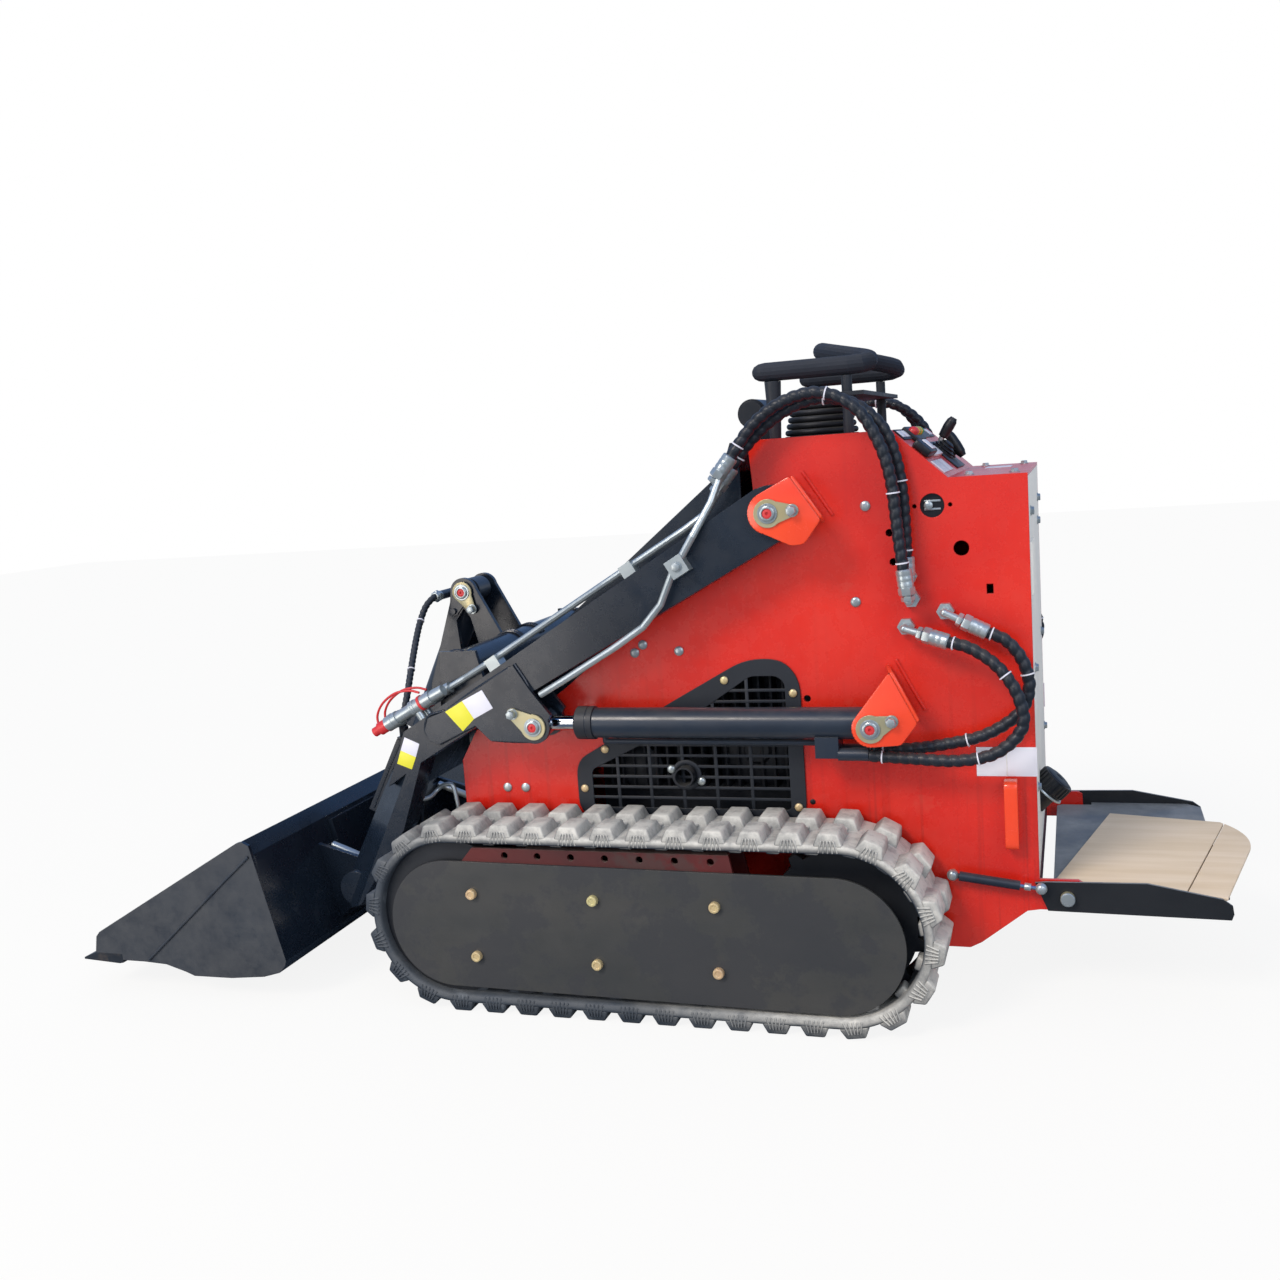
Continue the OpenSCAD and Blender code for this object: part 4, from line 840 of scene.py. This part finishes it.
# levers with soft grips, one upright and one bent back over the slope
grips, stems = bmesh.new(), bmesh.new()
levers = [
    [(-544, -40, 1061), (-552, -40, 1074), (-562, -40, 1090), (-574, -40, 1108), (-578, -40, 1114)],
    [(-540, -110, 1064), (-549, -110, 1082), (-562, -110, 1078), (-574, -110, 1058), (-588, -110, 1034)],
]
for way in levers:
    route = curved([at(*p) for p in way], 2.5)
    full = sum((b - a).length for a, b in zip(route, route[1:])) * 1000

    def grip(length, angle):
        share = length / full
        return 4.5 if share < 0.3 else 11.5 - 2.5 * abs(share * 2 - 1.35) - 9 * max(0, share - 0.9) ** 0.5

    join(grips, tube(route, grip, 14), Matrix())
    join(stems, tube(route[:len(route) // 3], lambda length, angle: 5, 12), Matrix())
levers = piece("leverGrips", grips, "mouldedBlack", "chassis", twoSides=False)
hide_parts("control_levers")
piece("leverStems", stems, "zincPlate", "chassis", twoSides=False)

# side grilles: a pressed frame with narrow slots, and a boss round the exhaust
grille = {
    "outer": [(-302, 362), (-302, 640), (-268, 680), (-196, 680), (-32, 592), (120, 504), (171, 476), (171, 362)],
    "inner": [(-272, 380), (-272, 634), (-256, 647), (-204, 647), (-60, 552), (96, 478), (138, 458), (138, 380)],
    "columns": [-196, -125, -56, 13, 82], "rows": [379 + 21.8 * i for i in range(13)],
    "bar": (7, 6), "y": (310, 314), "outlet": (-63, 449),
}
bm = bmesh.new()
frameFace = bmesh.new()
loops = []
for outline in (rounded(grille["outer"], 34), rounded(grille["inner"], 10)):
    corners3 = [frameFace.verts.new((x / 1000, z / 1000, 0)) for x, z in outline]
    loops += [frameFace.edges.new((corners3[i - 1], corners3[i])) for i in range(len(corners3))]
bmesh.ops.bridge_loops(frameFace, edges=loops)
grown = bmesh.ops.extrude_face_region(frameFace, geom=frameFace.faces[:])["geom"]
bmesh.ops.translate(frameFace, verts=[v for v in grown if isinstance(v, bmesh.types.BMVert)], vec=(0, 0, 0.004))
join(bm, frameFace, onSide(grille["y"][0]))


# where a line across the opening starts and ends
def reach(level, upright):
    found = []
    ring = grille["inner"]
    for p, q in zip(ring, ring[1:] + ring[:1]):
        a, b = (p, q) if upright else (p[::-1], q[::-1])
        if (a[0] - level) * (b[0] - level) < 0:
            found.append(a[1] + (b[1] - a[1]) * (level - a[0]) / (b[0] - a[0]))
    return min(found) - 4, max(found) + 4


for x in grille["columns"]:
    low, high = reach(x, True)
    put(bm, block((grille["bar"][0], high - low, 2.6), 0.8), (x, 312, (low + high) / 2))
for z in grille["rows"][1:-1]:
    low, high = reach(z, False)
    put(bm, block((high - low, grille["bar"][1], 2.2), 0.8), ((low + high) / 2, 312, z))
x, z = grille["outlet"]
put(bm, turned([(22, 0), (31, 0), (31, 3.4), (29, 5), (24, 5), (22, 4), (22, 0)], 36), (x, 311, z))
grilles = piece("slottedGrilles", bm, "dullBlackEnamel", "chassis")
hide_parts("side_grilles")

# brackets of the pins: a folded plate whose flange runs back to the side plate
brackets = [
    {"pin": (-283, 965), "r": 39, "arc": (-78, 62), "rest": [(-326, 1030), (-379, 949), (-346, 906), (-322, 904)], "flare": 0.2},
    {"pin": (-449, 566), "r": 35, "arc": (-100, 24), "rest": [(-487, 671), (-534, 576), (-503, 535)], "flare": 0.2},
]
bm = bmesh.new()
for bracket in brackets:
    near = around(bracket["pin"], bracket["r"], 0, *bracket["arc"], 12)
    outline = [(p[0], p[2]) for p in near] + bracket["rest"]
    join(bm, sheet(rounded(outline, 7, 3), 8, 2.2), onSide(412))
    a, b = Vector(bracket["rest"][0]), Vector(bracket["rest"][1])
    along = (b - a).normalized()
    middle = (a + b) / 2 + Vector((along.y, -along.x)) * 2
    turn = Matrix.Rotation(-math.atan2(along.y, along.x), 4, "Y")
    place = Matrix.Translation(at(middle.x, 365, middle.y)) @ turn
    flange = block(((b - a).length - 4, 110, 9), 4.2)
    for v in flange.verts:
        v.co.z += (0.055 - v.co.y) * bracket["flare"]
        v.co.x *= 1 + (0.055 - v.co.y) * 0.9
    join(bm, flange, place)
# the lighter, orange red on the brackets is a painted highlight
folded = piece("foldedBrackets", bm, "highlightRedEnamel", "chassis")
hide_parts("lift_brackets")

# grab handles bent from flat bar
bar = [(309, 320), (346, 320), (346, 450), (309, 450), (309, 442), (338, 442), (338, 328), (309, 328)]
bm = bmesh.new()
join(bm, sheet(rounded(bar, 15, 6), 24, 1.6), Matrix(((0, 0, 1, at(-698, 0, 0).x), (1, 0, 0, 0), (0, 1, 0, 0), (0, 0, 0, 1))))
# the lighter, orange red on the handles is a painted highlight
handles = piece("bentHandles", bm, "highlightRedEnamel", "chassis")
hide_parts("grab_handles")

# fins and a belt guard on the engine, seen through the side grilles
bm = bmesh.new()
for i in range(16):
    put(bm, block((6, 320 if i < 9 else 200, 46), 1.2), (-250 + 25 * i, 212, 560 if i < 9 else 500), (0, 1, 0))
put(bm, turned([(0, 0), (70, 0), (76, 6), (76, 30), (64, 38), (30, 38), (24, 44), (0, 44)], 40), (-190, 190, 480))
put(bm, turned([(0, 0), (40, 0), (46, 6), (46, 34), (30, 40), (0, 40)], 32), (60, 190, 440))
piece("engineFins", bm, "engineBlack", "chassis")

# locking pin and its handle on the quick-attach frame, with a zinc tab
bm = bmesh.new()
hook = [(524, 344, 396), (509, 322, 397), (500, 303, 408), (484, 300, 418), (466, 300, 418), (459, 301, 398), (453, 303, 356)]
join(bm, tube(curved([at(*p) for p in hook], 4), lambda length, angle: 5, 10), Matrix())
piece("lockHandles", bm, "zincPlate", "arms")
bm = bmesh.new()
put(bm, turned([(0, 0), (9, 0), (9, 112), (7, 115), (0, 115)], 16), (800, 262, 264), (-60, 0, -22))
put(bm, bolt(22, 10, 30), (700, 262, 227.5), (-60, 0, -22))
piece("lockPins", bm, "zincPlate", "bucket")
# fittings where the tilt cylinder's hoses end, and the switch behind the round hole
bm = bmesh.new()
put(bm, turned([(0, 0), (11.6, 0), (11.6, 8), (10.8, 10), (10.8, 22), (9, 24), (0, 24)], 20), (579, 60, 799))
put(bm, bolt(24, 10), (579, 66, 799))
piece("tiltFittings", bm, "zincPlate", "tilt_barrel")
bm = bmesh.new()
put(bm, turned([(0, 0), (30, 0), (30, 6), (24, 8), (24, 12), (0, 12)], 32), (-563, 290, 957))
piece("switchHousings", bm, "mouldedBlack", "chassis")
bm = bmesh.new()
put(bm, block((30, 4, 3), 1), (-563, 303, 965))
put(bm, block((30, 4, 3), 1), (-563, 303, 950))
put(bm, turned([(0, 0), (8, 0), (8, 5), (6, 6.5), (0, 6.5)], 18), (-556, 302, 957))
piece("switchKeys", bm, "zincPlate", "chassis")
print("small fittings set")
